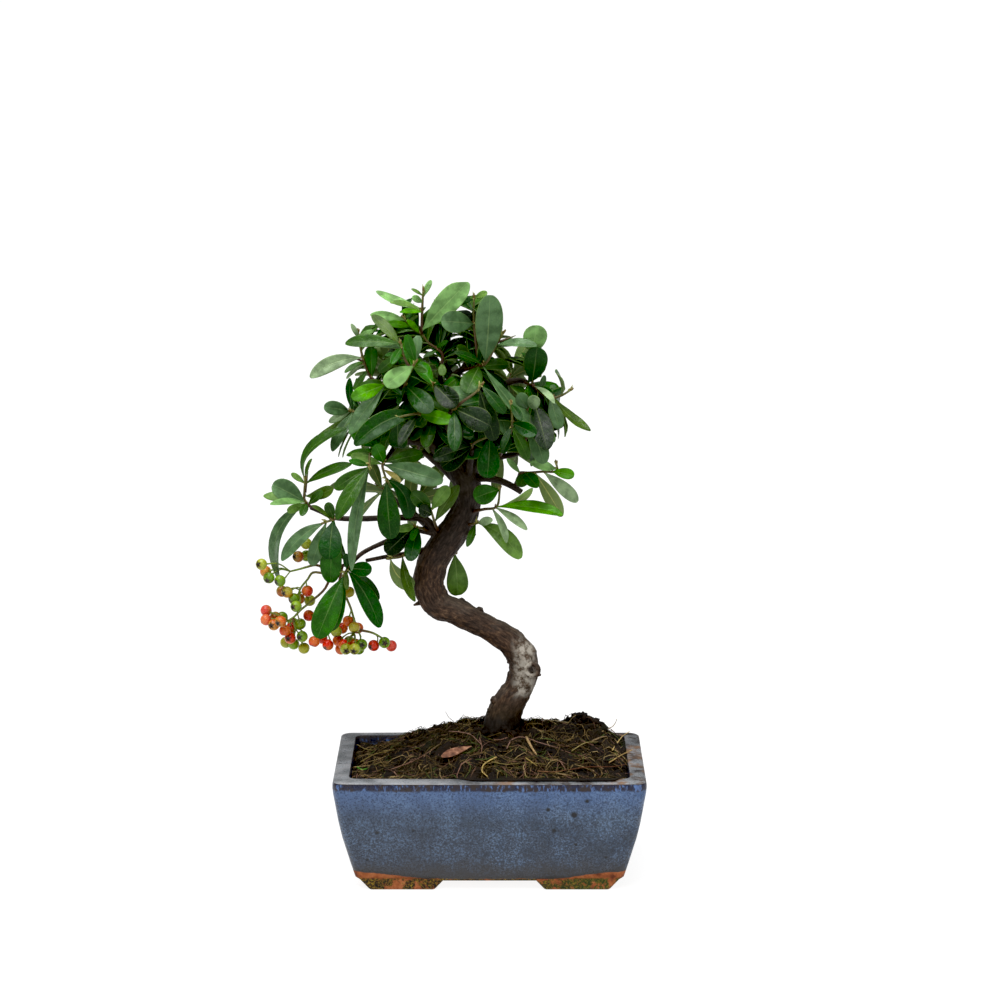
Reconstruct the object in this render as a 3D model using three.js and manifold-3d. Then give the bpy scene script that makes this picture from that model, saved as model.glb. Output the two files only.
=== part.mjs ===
// Narrowleaf firethorn bonsai in its glazed rectangular pot. Millimetres, +Z up.
// The plant stands in the middle of the pot and leans to the left (-X). The front of the pot faces -Y.
// Twigs, leaves and berries are placed by where they are seen from VIEWPOINT: a pair (x, z) is read on
// the upright plane y = 0, and seen() moves it along the line of sight to its own depth y.
import * as THREE from "three";
import { mergeVertices } from "three/addons/utils/BufferGeometryUtils.js";
import Module from "manifold-3d";

const wasm = await Module();
wasm.setup();
const { Manifold, Mesh } = wasm;

// Driving dimensions, in millimetres
const POT_WIDTH = 180;
const POT_DEPTH = 120;
const POT_HEIGHT = 65;
const RIM_THICKNESS = 9.5;
const FOOT_HEIGHT = 6;
const BAND_HEIGHT = 9.5;
const POT_CORNER = 7;
const FLOOR_TOP = 15;
const DRAIN_HOLE = 16;
const DRAIN_SPACING = 76;
const CLEARANCE = 0.3;
const VIEWPOINT = new THREE.Vector3(6, -1900, 567);
const BLADE_THICKNESS = 0.7;
const BERRY_DIAMETER = 6.6;
const LEAF_SWINGS = [0, -5, 5, -10, 10, -15, 15, -21, 21];

// The part's group and the solids already made, which later pieces stay clear of
const plant = new THREE.Group();
const made = [];

// A closed mesh whose faces share vertices, as a solid that can be joined and cut
function solid(geometry) {
  const bare = geometry.clone();
  bare.deleteAttribute("normal");
  bare.deleteAttribute("uv");
  const merged = mergeVertices(bare, 1e-5);
  const triVerts = new Uint32Array(merged.index.array);
  const vertProperties = new Float32Array(merged.attributes.position.array);
  return new Manifold(new Mesh({ numProp: 3, vertProperties, triVerts }));
}

function geometryOf(shape) {
  const mesh = shape.getMesh();
  const geometry = new THREE.BufferGeometry();
  geometry.setAttribute("position", new THREE.BufferAttribute(mesh.vertProperties, 3));
  geometry.setIndex(new THREE.BufferAttribute(mesh.triVerts, 1));
  return geometry;
}

// The largest single body of a solid, without loose scraps or sealed hollows
function oneBody(shape) {
  const bodies = shape.decompose();
  return bodies.reduce((best, body) => (body.volume() > best.volume() ? body : best));
}

function addNode(name, shape, look) {
  const body = oneBody(shape);
  const mesh = new THREE.Mesh(geometryOf(body), new THREE.MeshStandardMaterial(look));
  mesh.name = name;
  plant.add(mesh);
  made.push({ name, body, box: body.boundingBox() });
}

function joined(shapes) {
  return Manifold.union(shapes);
}

const GLAZE = { color: 0x55616f, roughness: 0.3, metalness: 0 };
const EARTH = { color: 0x2b2119, roughness: 0.95, metalness: 0 };
const BARK = { color: 0x4a3629, roughness: 0.85, metalness: 0 };
const LEAF = { color: 0x3d6b2e, roughness: 0.4, metalness: 0 };
const BERRY = { color: 0xb5472a, roughness: 0.3, metalness: 0 };
const DRY = { color: 0x8a5d45, roughness: 0.8, metalness: 0 };
const PLASTIC = { color: 0x20242a, roughness: 0.6, metalness: 0 };

// A stack of rounded rectangles, each [width, depth, height], skinned into one closed body
function rectangleStack(levels, corner, side = 3) {
  const ring = (width, depth) => {
    const points = [];
    for (let quarter = 0; quarter < 4; quarter++) {
      for (let step = 0; step < side; step++) {
        const angle = (quarter + step / (side - 1)) * Math.PI / 2;
        const sx = quarter === 0 || quarter === 3 ? 1 : -1;
        const sy = quarter < 2 ? 1 : -1;
        points.push([sx * (width / 2 - corner) + corner * Math.cos(angle),
          sy * (depth / 2 - corner) + corner * Math.sin(angle)]);
      }
    }
    return points;
  };
  const count = 4 * side;
  const positions = [];
  for (const [width, depth, height] of levels) {
    for (const [x, y] of ring(width, depth)) positions.push(x, y, height);
  }
  const top = levels.length - 1;
  positions.push(0, 0, levels[0][2], 0, 0, levels[top][2]);
  const index = [];
  for (let k = 0; k < count; k++) {
    const next = (k + 1) % count;
    for (let row = 0; row < top; row++) {
      const a = row * count + k;
      const b = row * count + next;
      index.push(a, b, b + count, a, b + count, a + count);
    }
    index.push(next, k, levels.length * count);
    index.push(top * count + k, top * count + next, levels.length * count + 1);
  }
  const geometry = new THREE.BufferGeometry();
  geometry.setAttribute("position", new THREE.Float32BufferAttribute(positions, 3));
  geometry.setIndex(index);
  return geometry;
}

// Pot: a tapered, slightly bowed body with a flat rim, four corner feet and two drainage holes
const BAND_WIDTH = POT_WIDTH - 24;
const BAND_DEPTH = POT_DEPTH - 24;
const CAVITY_TOP = [POT_WIDTH - 2 * RIM_THICKNESS, POT_DEPTH - 2 * RIM_THICKNESS];
const CAVITY_FLOOR = [BAND_WIDTH - 12, BAND_DEPTH - 12];

function cavity(shrink, top) {
  const slope = (top - FLOOR_TOP) / (POT_HEIGHT - FLOOR_TOP);
  const width = THREE.MathUtils.lerp(CAVITY_FLOOR[0], CAVITY_TOP[0], slope);
  const depth = THREE.MathUtils.lerp(CAVITY_FLOOR[1], CAVITY_TOP[1], slope);
  return rectangleStack([
    [CAVITY_FLOOR[0] - 2 * shrink, CAVITY_FLOOR[1] - 2 * shrink, FLOOR_TOP + shrink],
    [width - 2 * shrink, depth - 2 * shrink, top]], 4);
}

function potBody() {
  const shell = solid(rectangleStack([
    [BAND_WIDTH - 6, BAND_DEPTH - 6, FOOT_HEIGHT],
    [BAND_WIDTH, BAND_DEPTH, BAND_HEIGHT],
    [POT_WIDTH - 10.5, POT_DEPTH - 10.5, 32],
    [POT_WIDTH - 3, POT_DEPTH - 3, 52],
    [POT_WIDTH, POT_DEPTH, 61.5],
    [POT_WIDTH, POT_DEPTH, 63.5],
    [POT_WIDTH - 2.4, POT_DEPTH - 2.4, POT_HEIGHT]], POT_CORNER));
  const feet = [];
  const footWidth = 54;
  const footDepth = 32;
  for (const sx of [-1, 1]) {
    for (const sy of [-1, 1]) {
      const foot = rectangleStack([[footWidth - 9, footDepth - 9, 0],
        [footWidth, footDepth, FOOT_HEIGHT + 1.5]], 2.5, 2);
      foot.translate(sx * (BAND_WIDTH - footWidth - 6) / 2, sy * (BAND_DEPTH - footDepth - 6) / 2, 0);
      feet.push(solid(foot));
    }
  }
  const drains = [-1, 1].map((side) => {
    const hole = new THREE.CylinderGeometry(DRAIN_HOLE / 2, DRAIN_HOLE / 2, 2 * FLOOR_TOP, 14);
    hole.rotateX(Math.PI / 2);
    hole.translate(side * DRAIN_SPACING / 2, 0, FLOOR_TOP / 2);
    return solid(hole);
  });
  return joined([shell, ...feet]).subtract(joined([solid(cavity(0, POT_HEIGHT + 5)), ...drains]));
}

addNode("pot", potBody(), GLAZE);

// Plastic mesh squares that lie on the pot's floor over the drainage holes
const SCREEN_SIDE = 26;
const SCREEN_THICKNESS = 1.2;

function drainScreen(side) {
  const plate = new THREE.BoxGeometry(SCREEN_SIDE, SCREEN_SIDE, SCREEN_THICKNESS);
  const holes = [];
  for (const row of [-1, 1]) {
    for (const column of [-1, 1]) {
      const hole = new THREE.BoxGeometry(5, 5, 4);
      hole.translate(column * 4, row * 4, 0);
      holes.push(solid(hole));
    }
  }
  const height = FLOOR_TOP + CLEARANCE + SCREEN_THICKNESS / 2;
  return solid(plate).subtract(joined(holes)).translate([side * DRAIN_SPACING / 2, 0, height]);
}

addNode("drain_screen_left", drainScreen(-1), PLASTIC);
addNode("drain_screen_right", drainScreen(1), PLASTIC);

// A point seen at (x, z) on the plane y = 0, moved along the line of sight to the given depth
function seen(x, z, depth = 0) {
  const onPlane = new THREE.Vector3(x, 0, z);
  return onPlane.sub(VIEWPOINT).multiplyScalar(1 + depth / -VIEWPOINT.y).add(VIEWPOINT);
}

// A round stem through places, with a diameter at each, as a bent and tapered cylinder
function stem(places, diameters, sides, stepsPerSpan, grow = 0) {
  const curve = new THREE.CatmullRomCurve3(places);
  const spans = places.length - 1;
  const steps = Math.max(1, Math.round(spans * stepsPerSpan));
  const radiusAt = (share) => {
    const span = Math.min(Math.floor(share * spans), spans - 1);
    return THREE.MathUtils.lerp(diameters[span], diameters[span + 1], share * spans - span) / 2 + grow;
  };
  const rings = [];
  const normal = new THREE.Vector3(0.3, -0.9, 0.2);
  for (let k = 0; k <= steps; k++) {
    const tangent = curve.getTangent(k / steps);
    normal.addScaledVector(tangent, -normal.dot(tangent)).normalize();
    const overrun = k === 0 ? -grow : k === steps ? grow : 0;
    const place = curve.getPoint(k / steps).addScaledVector(tangent, overrun);
    const binormal = tangent.clone().cross(normal);
    rings.push({ place, normal: normal.clone(), binormal, radius: radiusAt(k / steps) });
  }
  const tube = new THREE.CylinderGeometry(1, 1, 1, sides, steps);
  const position = tube.attributes.position;
  for (let k = 0; k < position.count; k++) {
    const ring = rings[Math.round((position.getY(k) + 0.5) * steps)];
    const spot = ring.place.clone().addScaledVector(ring.normal, position.getX(k) * ring.radius);
    spot.addScaledVector(ring.binormal, -position.getZ(k) * ring.radius);
    position.setXYZ(k, spot.x, spot.y, spot.z);
  }
  return solid(tube);
}

// Trunk and branches, each a list of [x, z, depth, diameter] as seen from the viewpoint
const TRUNK = [
  [4.5, 66, 4, 25], [6.5, 82, 4, 23], [8.5, 92, 4, 20.5], [12, 100, 3, 19.3], [17, 108.5, 2, 17.4],
  [19.8, 118, 0, 16.8],
  [18.9, 126.4, -1, 17], [14.6, 133.2, -2, 16], [7.6, 139.2, -3, 15], [-0.6, 144.2, -3, 14.4],
  [-10.2, 149, -3, 14.6],
  [-19.8, 153.6, -2, 15.8], [-30, 158.4, 0, 17], [-35.4, 169.4, 1, 17.4], [-34, 181, 2, 17.4],
  [-28.6, 190.4, 3, 17.3],
  [-22, 199.6, 3, 17.4], [-16.4, 209, 3, 16.6], [-12.8, 218.5, 2, 15.4], [-12.8, 228, 2, 16.4],
  [-15.6, 237, 1, 17.6],
  [-20.5, 244.5, 0, 14.6], [-27, 249.8, -1, 11.8], [-35.5, 255.5, -1, 10.4], [-45, 257, -1, 9],
  [-55, 255.8, -1, 7],
  [-62.5, 255, -1, 5.2]];
const BRANCHES = [
  { points: [[-25, 248, -1, 9], [-29.5, 260, 1, 7.2], [-30, 274, 2, 6], [-25.5, 286, 2, 4.8],
    [-17, 295.5, 1, 3.6],
    [-5, 298.6, -2, 2.6]], sides: 5 },
  { points: [[-16, 231, 2, 10], [-27, 240, 1, 6], [-38, 249.5, 0, 5]], sides: 5 },
  { points: [[-27, 282, 2, 4], [-28.5, 292, 0, 2.8], [-28, 301, -2, 2.2]], sides: 4 },
  { points: [[-28, 279, 2, 4.4], [-14, 283, 3, 4.2], [4, 286.6, 3, 4], [17, 290, 1, 3.2],
    [22.5, 288.6, 0, 2.6]], sides: 4 },
  { points: [[-30, 266, 1, 4.6], [-43, 275, 1, 3.6], [-55, 283, 0, 3], [-63, 288, 0, 2.4]], sides: 4 },
  { points: [[-39, 256, -1, 4.6], [-50, 262, 2, 3.6], [-65, 269, 4, 2.6]], sides: 4 },
  { points: [[-11, 236, 2, 6], [-4, 241, 3, 4.4], [5, 245, 3, 3.6], [15, 247, 1, 3],
    [21.5, 250.5, -3, 2.4]], sides: 5 },
  { points: [[-9, 233, 1, 6], [-3, 233, -2, 4.4], [5, 231.6, -3, 4], [13, 228.2, -4, 3.8],
    [18.5, 224.6, -4, 3.2]], sides: 5 },
  { points: [[14.5, 227.6, -4, 3], [16.4, 232, -4, 2.6], [17.6, 236, -8, 2.2]], sides: 4 },
  { points: [[-27, 193, 3, 8], [-33, 202.5, 1, 6.4], [-37.4, 208.6, -1, 4.6], [-48, 209.6, -2, 3.6],
    [-75, 209, -3, 3.2],
    [-90, 209.6, -3, 3], [-97, 212.6, -3, 2.6], [-104, 215.6, -3, 2.4]], sides: 5 },
  { points: [[-33, 201, 1, 5], [-45, 202.4, 1, 3.4], [-60, 195.6, 0, 2.8], [-74, 188.6, -2, 2.6],
    [-81, 181.6, -4, 2.2]],
    sides: 4 },
  { points: [[-79, 183.4, -3, 2.4], [-84, 181.6, 1, 2.2], [-90, 180, 4, 2],
    [-95.6, 179, 6, 1.8]], sides: 4 },
  { points: [[-35, 190.4, 2, 5], [-46, 188.8, 3, 2.8], [-60, 186.5, 3, 2.4],
    [-72, 184.2, 0, 2.2]], sides: 4 },
  { points: [[-12, 238, 3, 7], [-5, 247, 14, 5], [0, 258, 27, 3.8], [6, 268, 38, 2.6]], sides: 5 },
  { points: [[-28, 256, 1, 6], [-34, 265, 14, 4.6], [-43, 276, 26, 3.4],
    [-50, 288, 36, 2.4]], sides: 5 },
  { points: [[-27, 284, 2, 4], [-18, 293, 13, 3.2], [-12, 304, 22, 2.4]], sides: 4 },
  { points: [[-35, 204, 3, 5.4], [-43, 211, 14, 4], [-52, 217, 26, 3.2],
    [-58, 224, 36, 2.4]], sides: 4 },
  { points: [[-18, 244, -2, 6], [-22, 254, -13, 4.6], [-24, 266, -25, 3.4],
    [-22, 273, -35, 2.4]], sides: 5 },
  { points: [[-13, 233, -2, 5], [-11, 243, -13, 3.6], [-10, 250, -23, 2.4]], sides: 4 },
  { points: [[-52, 256, -1, 3.6], [-57, 248, -14, 2.8], [-61.4, 242, -27, 2.2]], sides: 4 },
];
// Cut stubs, knots and thorns: foot and head as [x, z, depth, diameter]
const KNOTS = [
  [[20, 128, -3, 9], [26.4, 131.4, -3, 5]],
  [[22, 119, -6, 9.5], [24.5, 119, -9.5, 6.5]],
  [[24, 116.4, 0, 5], [30, 116, 0, 1.4]],
  [[14, 123.4, 0, 4], [10, 123.6, 0, 1.6]],
  [[-7, 152, -2, 8], [-5.4, 156.4, -2, 3.6]],
  [[-18, 158, -1, 7], [-15.4, 161.6, -1, 3]],
  [[-38, 160, 0, 5], [-44.4, 157.6, -1, 1.4]],
  [[-16, 201, 0, 6], [-8, 199.6, -2, 1.6]],
  [[3, 94, 0, 6], [-1.6, 94.6, 0, 2.4]],
];

function stemSeen(points, sides, stepsPerSpan, grow = 0) {
  const places = points.map(([x, z, depth]) => seen(x, z, depth));
  const diameters = points.map((point) => point[3]);
  return stem(places, diameters, sides, stepsPerSpan, grow);
}

function wood(grow = 0) {
  return joined([
    stemSeen(TRUNK, 8, 1, grow),
    ...BRANCHES.map(({ points, sides }) => stemSeen(points, sides, 1, grow)),
    ...KNOTS.map((points) => stemSeen(points, 3, 1, grow)),
  ]);
}

addNode("trunk", wood(), BARK);
const woodRoom = wood(CLEARANCE);

// Height of the soil: a mound round the trunk, a clod behind it to the right, and small lumps
function ground(x, y) {
  const across = (x - 6) / 84;
  const along = (y - 12) / (y > 12 ? 44 : 66);
  const away = Math.hypot(across, along);
  const mound = away < 1 ? 18 * (1 - away ** 2.2) : -5 * Math.min(1, (away - 1) * 4);
  const clod = 8 * Math.exp(-(((x - 58) / 17) ** 2) - ((y - 20) / 20) ** 2);
  const lumps = 0.9 * Math.sin(x * 0.31 + y * 0.17) + 0.8 * Math.sin(y * 0.37 - x * 0.13);
  return POT_HEIGHT + mound + clod + lumps;
}

const SOIL_RINGS = [1, 0.82, 0.62, 0.4, 0.2];
const SOIL_POINTS = 24;

// Soil mound: rings that shrink towards the middle, each point lifted to the ground's height
function mound() {
  const positions = [];
  const place = (scale, angle) => {
    const c = Math.cos(angle);
    const s = Math.sin(angle);
    const spill = s < -0.2 && c > -0.25 ? 6.5 : 0;
    const halfWidth = CAVITY_TOP[0] / 2 + 0.5;
    const halfDepth = CAVITY_TOP[1] / 2 + spill;
    const square = (c ** 8 + s ** 8) ** (-1 / 8);
    return [scale * halfWidth * c * square, scale * halfDepth * s * square];
  };
  for (let k = 0; k < SOIL_POINTS; k++) positions.push(...place(1, 2 * Math.PI * k / SOIL_POINTS), 40);
  for (const scale of SOIL_RINGS) {
    for (let k = 0; k < SOIL_POINTS; k++) {
      const [x, y] = place(scale, 2 * Math.PI * k / SOIL_POINTS);
      positions.push(x, y, ground(x, y) + (scale === 1 ? -0.6 : 0));
    }
  }
  positions.push(0, 0, 40, 0, 0, ground(0, 0));
  const index = [];
  const rows = SOIL_RINGS.length;
  for (let k = 0; k < SOIL_POINTS; k++) {
    const next = (k + 1) % SOIL_POINTS;
    for (let row = 0; row < rows; row++) {
      const a = row * SOIL_POINTS + k;
      const b = row * SOIL_POINTS + next;
      index.push(a, b, b + SOIL_POINTS, a, b + SOIL_POINTS, a + SOIL_POINTS);
    }
    index.push(next, k, (rows + 1) * SOIL_POINTS);
    index.push(rows * SOIL_POINTS + k, rows * SOIL_POINTS + next, (rows + 1) * SOIL_POINTS + 1);
  }
  const geometry = new THREE.BufferGeometry();
  geometry.setAttribute("position", new THREE.Float32BufferAttribute(positions, 3));
  geometry.setIndex(index);
  return solid(geometry);
}

// Random numbers that come out the same each time
function dice(seed) {
  let state = seed;
  return () => {
    state = (state * 16807) % 2147483647;
    return state / 2147483647;
  };
}

// Coarse dead grass and roots that lie half sunk on the soil
const FIBRE_COUNT = 9;

function fibres() {
  const roll = dice(41);
  const shapes = [];
  for (let k = 0; k < FIBRE_COUNT; k++) {
    const x = (roll() - 0.5) * 130;
    const y = -14 - roll() * 32;
    const heading = roll() * 2 * Math.PI;
    const bend = (roll() - 0.5) * 1.6;
    const length = 14 + roll() * 16;
    const places = [];
    const thick = [];
    for (let step = 0; step < 3; step++) {
      const turn = heading + bend * (step - 1) / 3;
      const reach = (step - 1) / 2 * length;
      const px = THREE.MathUtils.clamp(x + reach * Math.cos(turn), -74, 74);
      const py = THREE.MathUtils.clamp(y + reach * Math.sin(turn), -46, 40);
      places.push(new THREE.Vector3(px, py, ground(px, py) + (step === 1 ? 0.7 : -0.9)));
      thick.push(1.3);
    }
    shapes.push(stem(places, thick, 3, 1));
  }
  return shapes;
}

// A leaf blade from root to tip: a long six-cornered plate, or a rhomb if it is small, bent along its length
function blade({ root, tip, bulge, face, width }, thickness, rows) {
  const middle = root.clone().add(tip).multiplyScalar(0.5);
  const curve = new THREE.QuadraticBezierCurve3(root, middle.addScaledVector(bulge, 2), tip);
  const positions = [];
  for (const [along, share] of rows) {
    const place = curve.getPoint(along);
    const tangent = curve.getTangent(along);
    const up = face.clone().addScaledVector(tangent, -face.dot(tangent)).normalize();
    const side = tangent.clone().cross(up);
    const shifts = share === 0 ? [0] : [-share * width / 2, share * width / 2];
    for (const shift of shifts) {
      const spot = place.clone().addScaledVector(side, shift);
      positions.push(...spot.clone().addScaledVector(up, thickness / 2));
      positions.push(...spot.clone().addScaledVector(up, -thickness / 2));
    }
  }
  // Even numbers are the upper side and odd numbers the lower, from the root through the rows to the tip
  const large = rows.length === 4;
  const upper = large ? [[0, 2, 4], [2, 6, 4], [4, 6, 8], [6, 10, 8]] : [[0, 2, 4], [2, 6, 4]];
  const rim = large ? [0, 4, 8, 10, 6, 2] : [0, 4, 6, 2];
  const index = [];
  for (const [p, q, r] of upper) index.push(p, r, q, p + 1, q + 1, r + 1);
  for (let k = 0; k < rim.length; k++) {
    const here = rim[k];
    const next = rim[(k + 1) % rim.length];
    index.push(here, here + 1, next + 1, here, next + 1, next);
  }
  const geometry = new THREE.BufferGeometry();
  geometry.setAttribute("position", new THREE.Float32BufferAttribute(positions, 3));
  geometry.setIndex(index);
  return solid(geometry);
}

const BLADE_ROWS = [[0, 0], [0.38, 0.95], [0.78, 0.9], [1, 0]];
const SMALL_ROWS = [[0, 0], [0.58, 1], [1, 0]];

// Brown fallen leaf that lies on the front of the mound
const FALLEN = [[-27.4, -33], [-10.8, -27]];
const FALLEN_WIDTH = 6.5;

function fallenLeaf(thickness, wider) {
  const [root, tip] = FALLEN.map(([x, y]) => new THREE.Vector3(x, y, ground(x, y) + 1.1));
  const bulge = new THREE.Vector3(0, 0, 0.6);
  const face = new THREE.Vector3(0, -0.35, 1).normalize();
  return blade({ root, tip, bulge, face, width: FALLEN_WIDTH + wider }, thickness, BLADE_ROWS);
}

// Root ball and soil: fills the pot, rises in a mound and spills over the front of the rim
function soilBody() {
  const block = new THREE.BoxGeometry(POT_WIDTH + 40, POT_DEPTH + 40, POT_HEIGHT + CLEARANCE);
  block.translate(0, 0, (POT_HEIGHT + CLEARANCE) / 2);
  const aroundCavity = solid(block).subtract(solid(cavity(CLEARANCE, POT_HEIGHT + 10)));
  const fill = solid(cavity(CLEARANCE, 58));
  const beds = [-1, 1].map((side) => {
    const bedSide = SCREEN_SIDE + 2 * CLEARANCE;
    const bed = new THREE.BoxGeometry(bedSide, bedSide, 2 * SCREEN_THICKNESS);
    bed.translate(side * DRAIN_SPACING / 2, 0, FLOOR_TOP + CLEARANCE + SCREEN_THICKNESS / 2);
    return solid(bed);
  });
  const leafBed = fallenLeaf(BLADE_THICKNESS + 2 * CLEARANCE, 2 * CLEARANCE);
  return joined([fill, mound(), ...fibres()]).subtract(joined([aroundCavity, woodRoom, leafBed, ...beds]));
}

addNode("soil", soilBody(), EARTH);
addNode("fallen_leaf", fallenLeaf(BLADE_THICKNESS, 0), DRY);

// Where a leaf lies once its tip is moved by a swing along the line of sight
function posed(leaf, swing) {
  const sight = leaf.tip.clone().sub(VIEWPOINT);
  const tip = leaf.tip.clone().addScaledVector(sight, swing / (leaf.tip.y - VIEWPOINT.y));
  const axis = tip.clone().sub(leaf.root).normalize();
  const across = (vector) => vector.clone().addScaledVector(axis, -vector.dot(axis)).normalize();
  const middle = leaf.root.clone().add(tip).multiplyScalar(0.5);
  let face;
  if (leaf.upper) {
    face = across(leaf.upper);
  } else {
    const toward = across(VIEWPOINT.clone().sub(middle));
    const skyward = axis.clone().cross(toward);
    const outward = Math.abs(skyward.z) < 0.35 ? skyward.x * (leaf.root.x - CROWN_AXIS) : skyward.z;
    if (outward < 0) skyward.negate();
    const turn = Math.acos(Math.min(1, Math.abs(leaf.seenWidth) / leaf.width));
    toward.multiplyScalar(Math.cos(turn) * Math.sign(leaf.seenWidth));
    face = toward.addScaledVector(skyward, Math.sin(turn));
  }
  const bulge = leaf.via
    ? seen(leaf.via[0], leaf.via[1], middle.y).sub(middle)
    : face.clone().multiplyScalar(LEAF_ARCH * leaf.root.distanceTo(tip));
  return { root: leaf.root, tip, bulge, face, width: leaf.width };
}

const CROWN_AXIS = -25;
const LEAF_ARCH = 0.07;
const BROADEST_LEAF = 12.5;
const LEAF_SLIMNESS = 0.27;
const SMALL_LEAF = 18;
const ROOM_ROWS = [[0.14, 0], [0.4, 0.86], [0.78, 0.84], [1, 0]];
const ROOM_THICKNESS = BLADE_THICKNESS + 2 * CLEARANCE + 0.2;

function overlaps(a, b) {
  return [0, 1, 2].every((k) => a.min[k] <= b.max[k] && b.min[k] <= a.max[k]);
}

function meetsOthers(shape, owner) {
  const box = shape.boundingBox();
  const near = [...made, ...twigRooms].filter((other) => other.name !== owner && overlaps(box, other.box));
  return near.some((other) => !shape.intersect(other.body).isEmpty());
}

// The pose at the first swing that is clear of every other node and, if it can be, of its own spray;
// none where the leaf would cross another node at every swing
function clearPose(leaf, owner, ownRooms) {
  const choices = [];
  for (const swing of LEAF_SWINGS) {
    const pose = posed(leaf, swing);
    const room = blade({ ...pose, width: pose.width + 1 }, ROOM_THICKNESS, ROOM_ROWS);
    if (!meetsOthers(room, owner)) choices.push({ pose, room, box: room.boundingBox() });
  }
  const meets = (a, b) => overlaps(a.box, b.box) && !a.room.intersect(b.room).isEmpty();
  const chosen = choices.find((choice) => !ownRooms.some((other) => meets(choice, other))) ?? choices[0];
  if (!chosen) return null;
  ownRooms.push(chosen);
  return chosen.pose;
}

function keepRoom(name, shapes) {
  for (const body of shapes) twigRooms.push({ name, body, box: body.boundingBox() });
}

function nearestOnTwigs(twigs, place) {
  let best = null;
  for (const twig of twigs) {
    for (let k = 0; k + 1 < twig.length; k++) {
      const span = new THREE.Line3(twig[k], twig[k + 1]);
      const spot = span.closestPointToPoint(place, true, new THREE.Vector3());
      if (!best || spot.distanceTo(place) < best.distanceTo(place)) best = spot;
    }
  }
  return best;
}

const TWIG_BASE = 2.3;
const TWIG_TAPER = 0.8;
const twigRooms = [];

// The twigs and thorns of a spray; grown a little, they are the room that other sprays' leaves leave free
function twigShapes({ depth, twigs, thorns = [] }, grow = 0) {
  const places = (points) => points.map(([x, z, more = 0]) => seen(x, z, depth + more));
  const thinning = (points) => points.map((_, k) => TWIG_BASE - TWIG_TAPER * k / points.length);
  return [
    ...twigs.map((points) => stem(places(points), thinning(points), 3, 1, grow)),
    ...thorns.map((points) => stem(places(points), [1.8, 0.7], 3, 1, grow)),
  ];
}

function leavesSeen({ depth, twigs, leaves }) {
  const lines = twigs.map((points) => points.map(([x, z, more = 0]) => seen(x, z, depth + more)));
  return leaves.map(([bx, bz, tx, tz, seenWidth, reach = 0, vx = null, vz = null]) => {
    const root = nearestOnTwigs(lines, seen(bx, bz, depth));
    const tip = seen(tx, tz, depth + reach);
    const broad = Math.min(BROADEST_LEAF, LEAF_SLIMNESS * root.distanceTo(tip));
    const width = Math.max(Math.abs(seenWidth), broad);
    return { root, tip, seenWidth, width, via: vx === null ? null : [vx, vz] };
  });
}

// A leafy shoot: its twigs, thorns and leaves fused in one node, cut clear of the wood that bears it
function addSpray(spray) {
  const ownRooms = [];
  const shapes = twigShapes(spray);
  for (const leaf of spray.leaves) {
    const pose = clearPose(leaf, spray.name, ownRooms);
    const rows = leaf.inner || leaf.root.distanceTo(leaf.tip) < SMALL_LEAF ? SMALL_ROWS : BLADE_ROWS;
    if (pose) shapes.push(blade(pose, BLADE_THICKNESS, rows));
  }
  addNode(spray.name, joined(shapes).subtract(woodRoom), LEAF);
}

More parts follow.
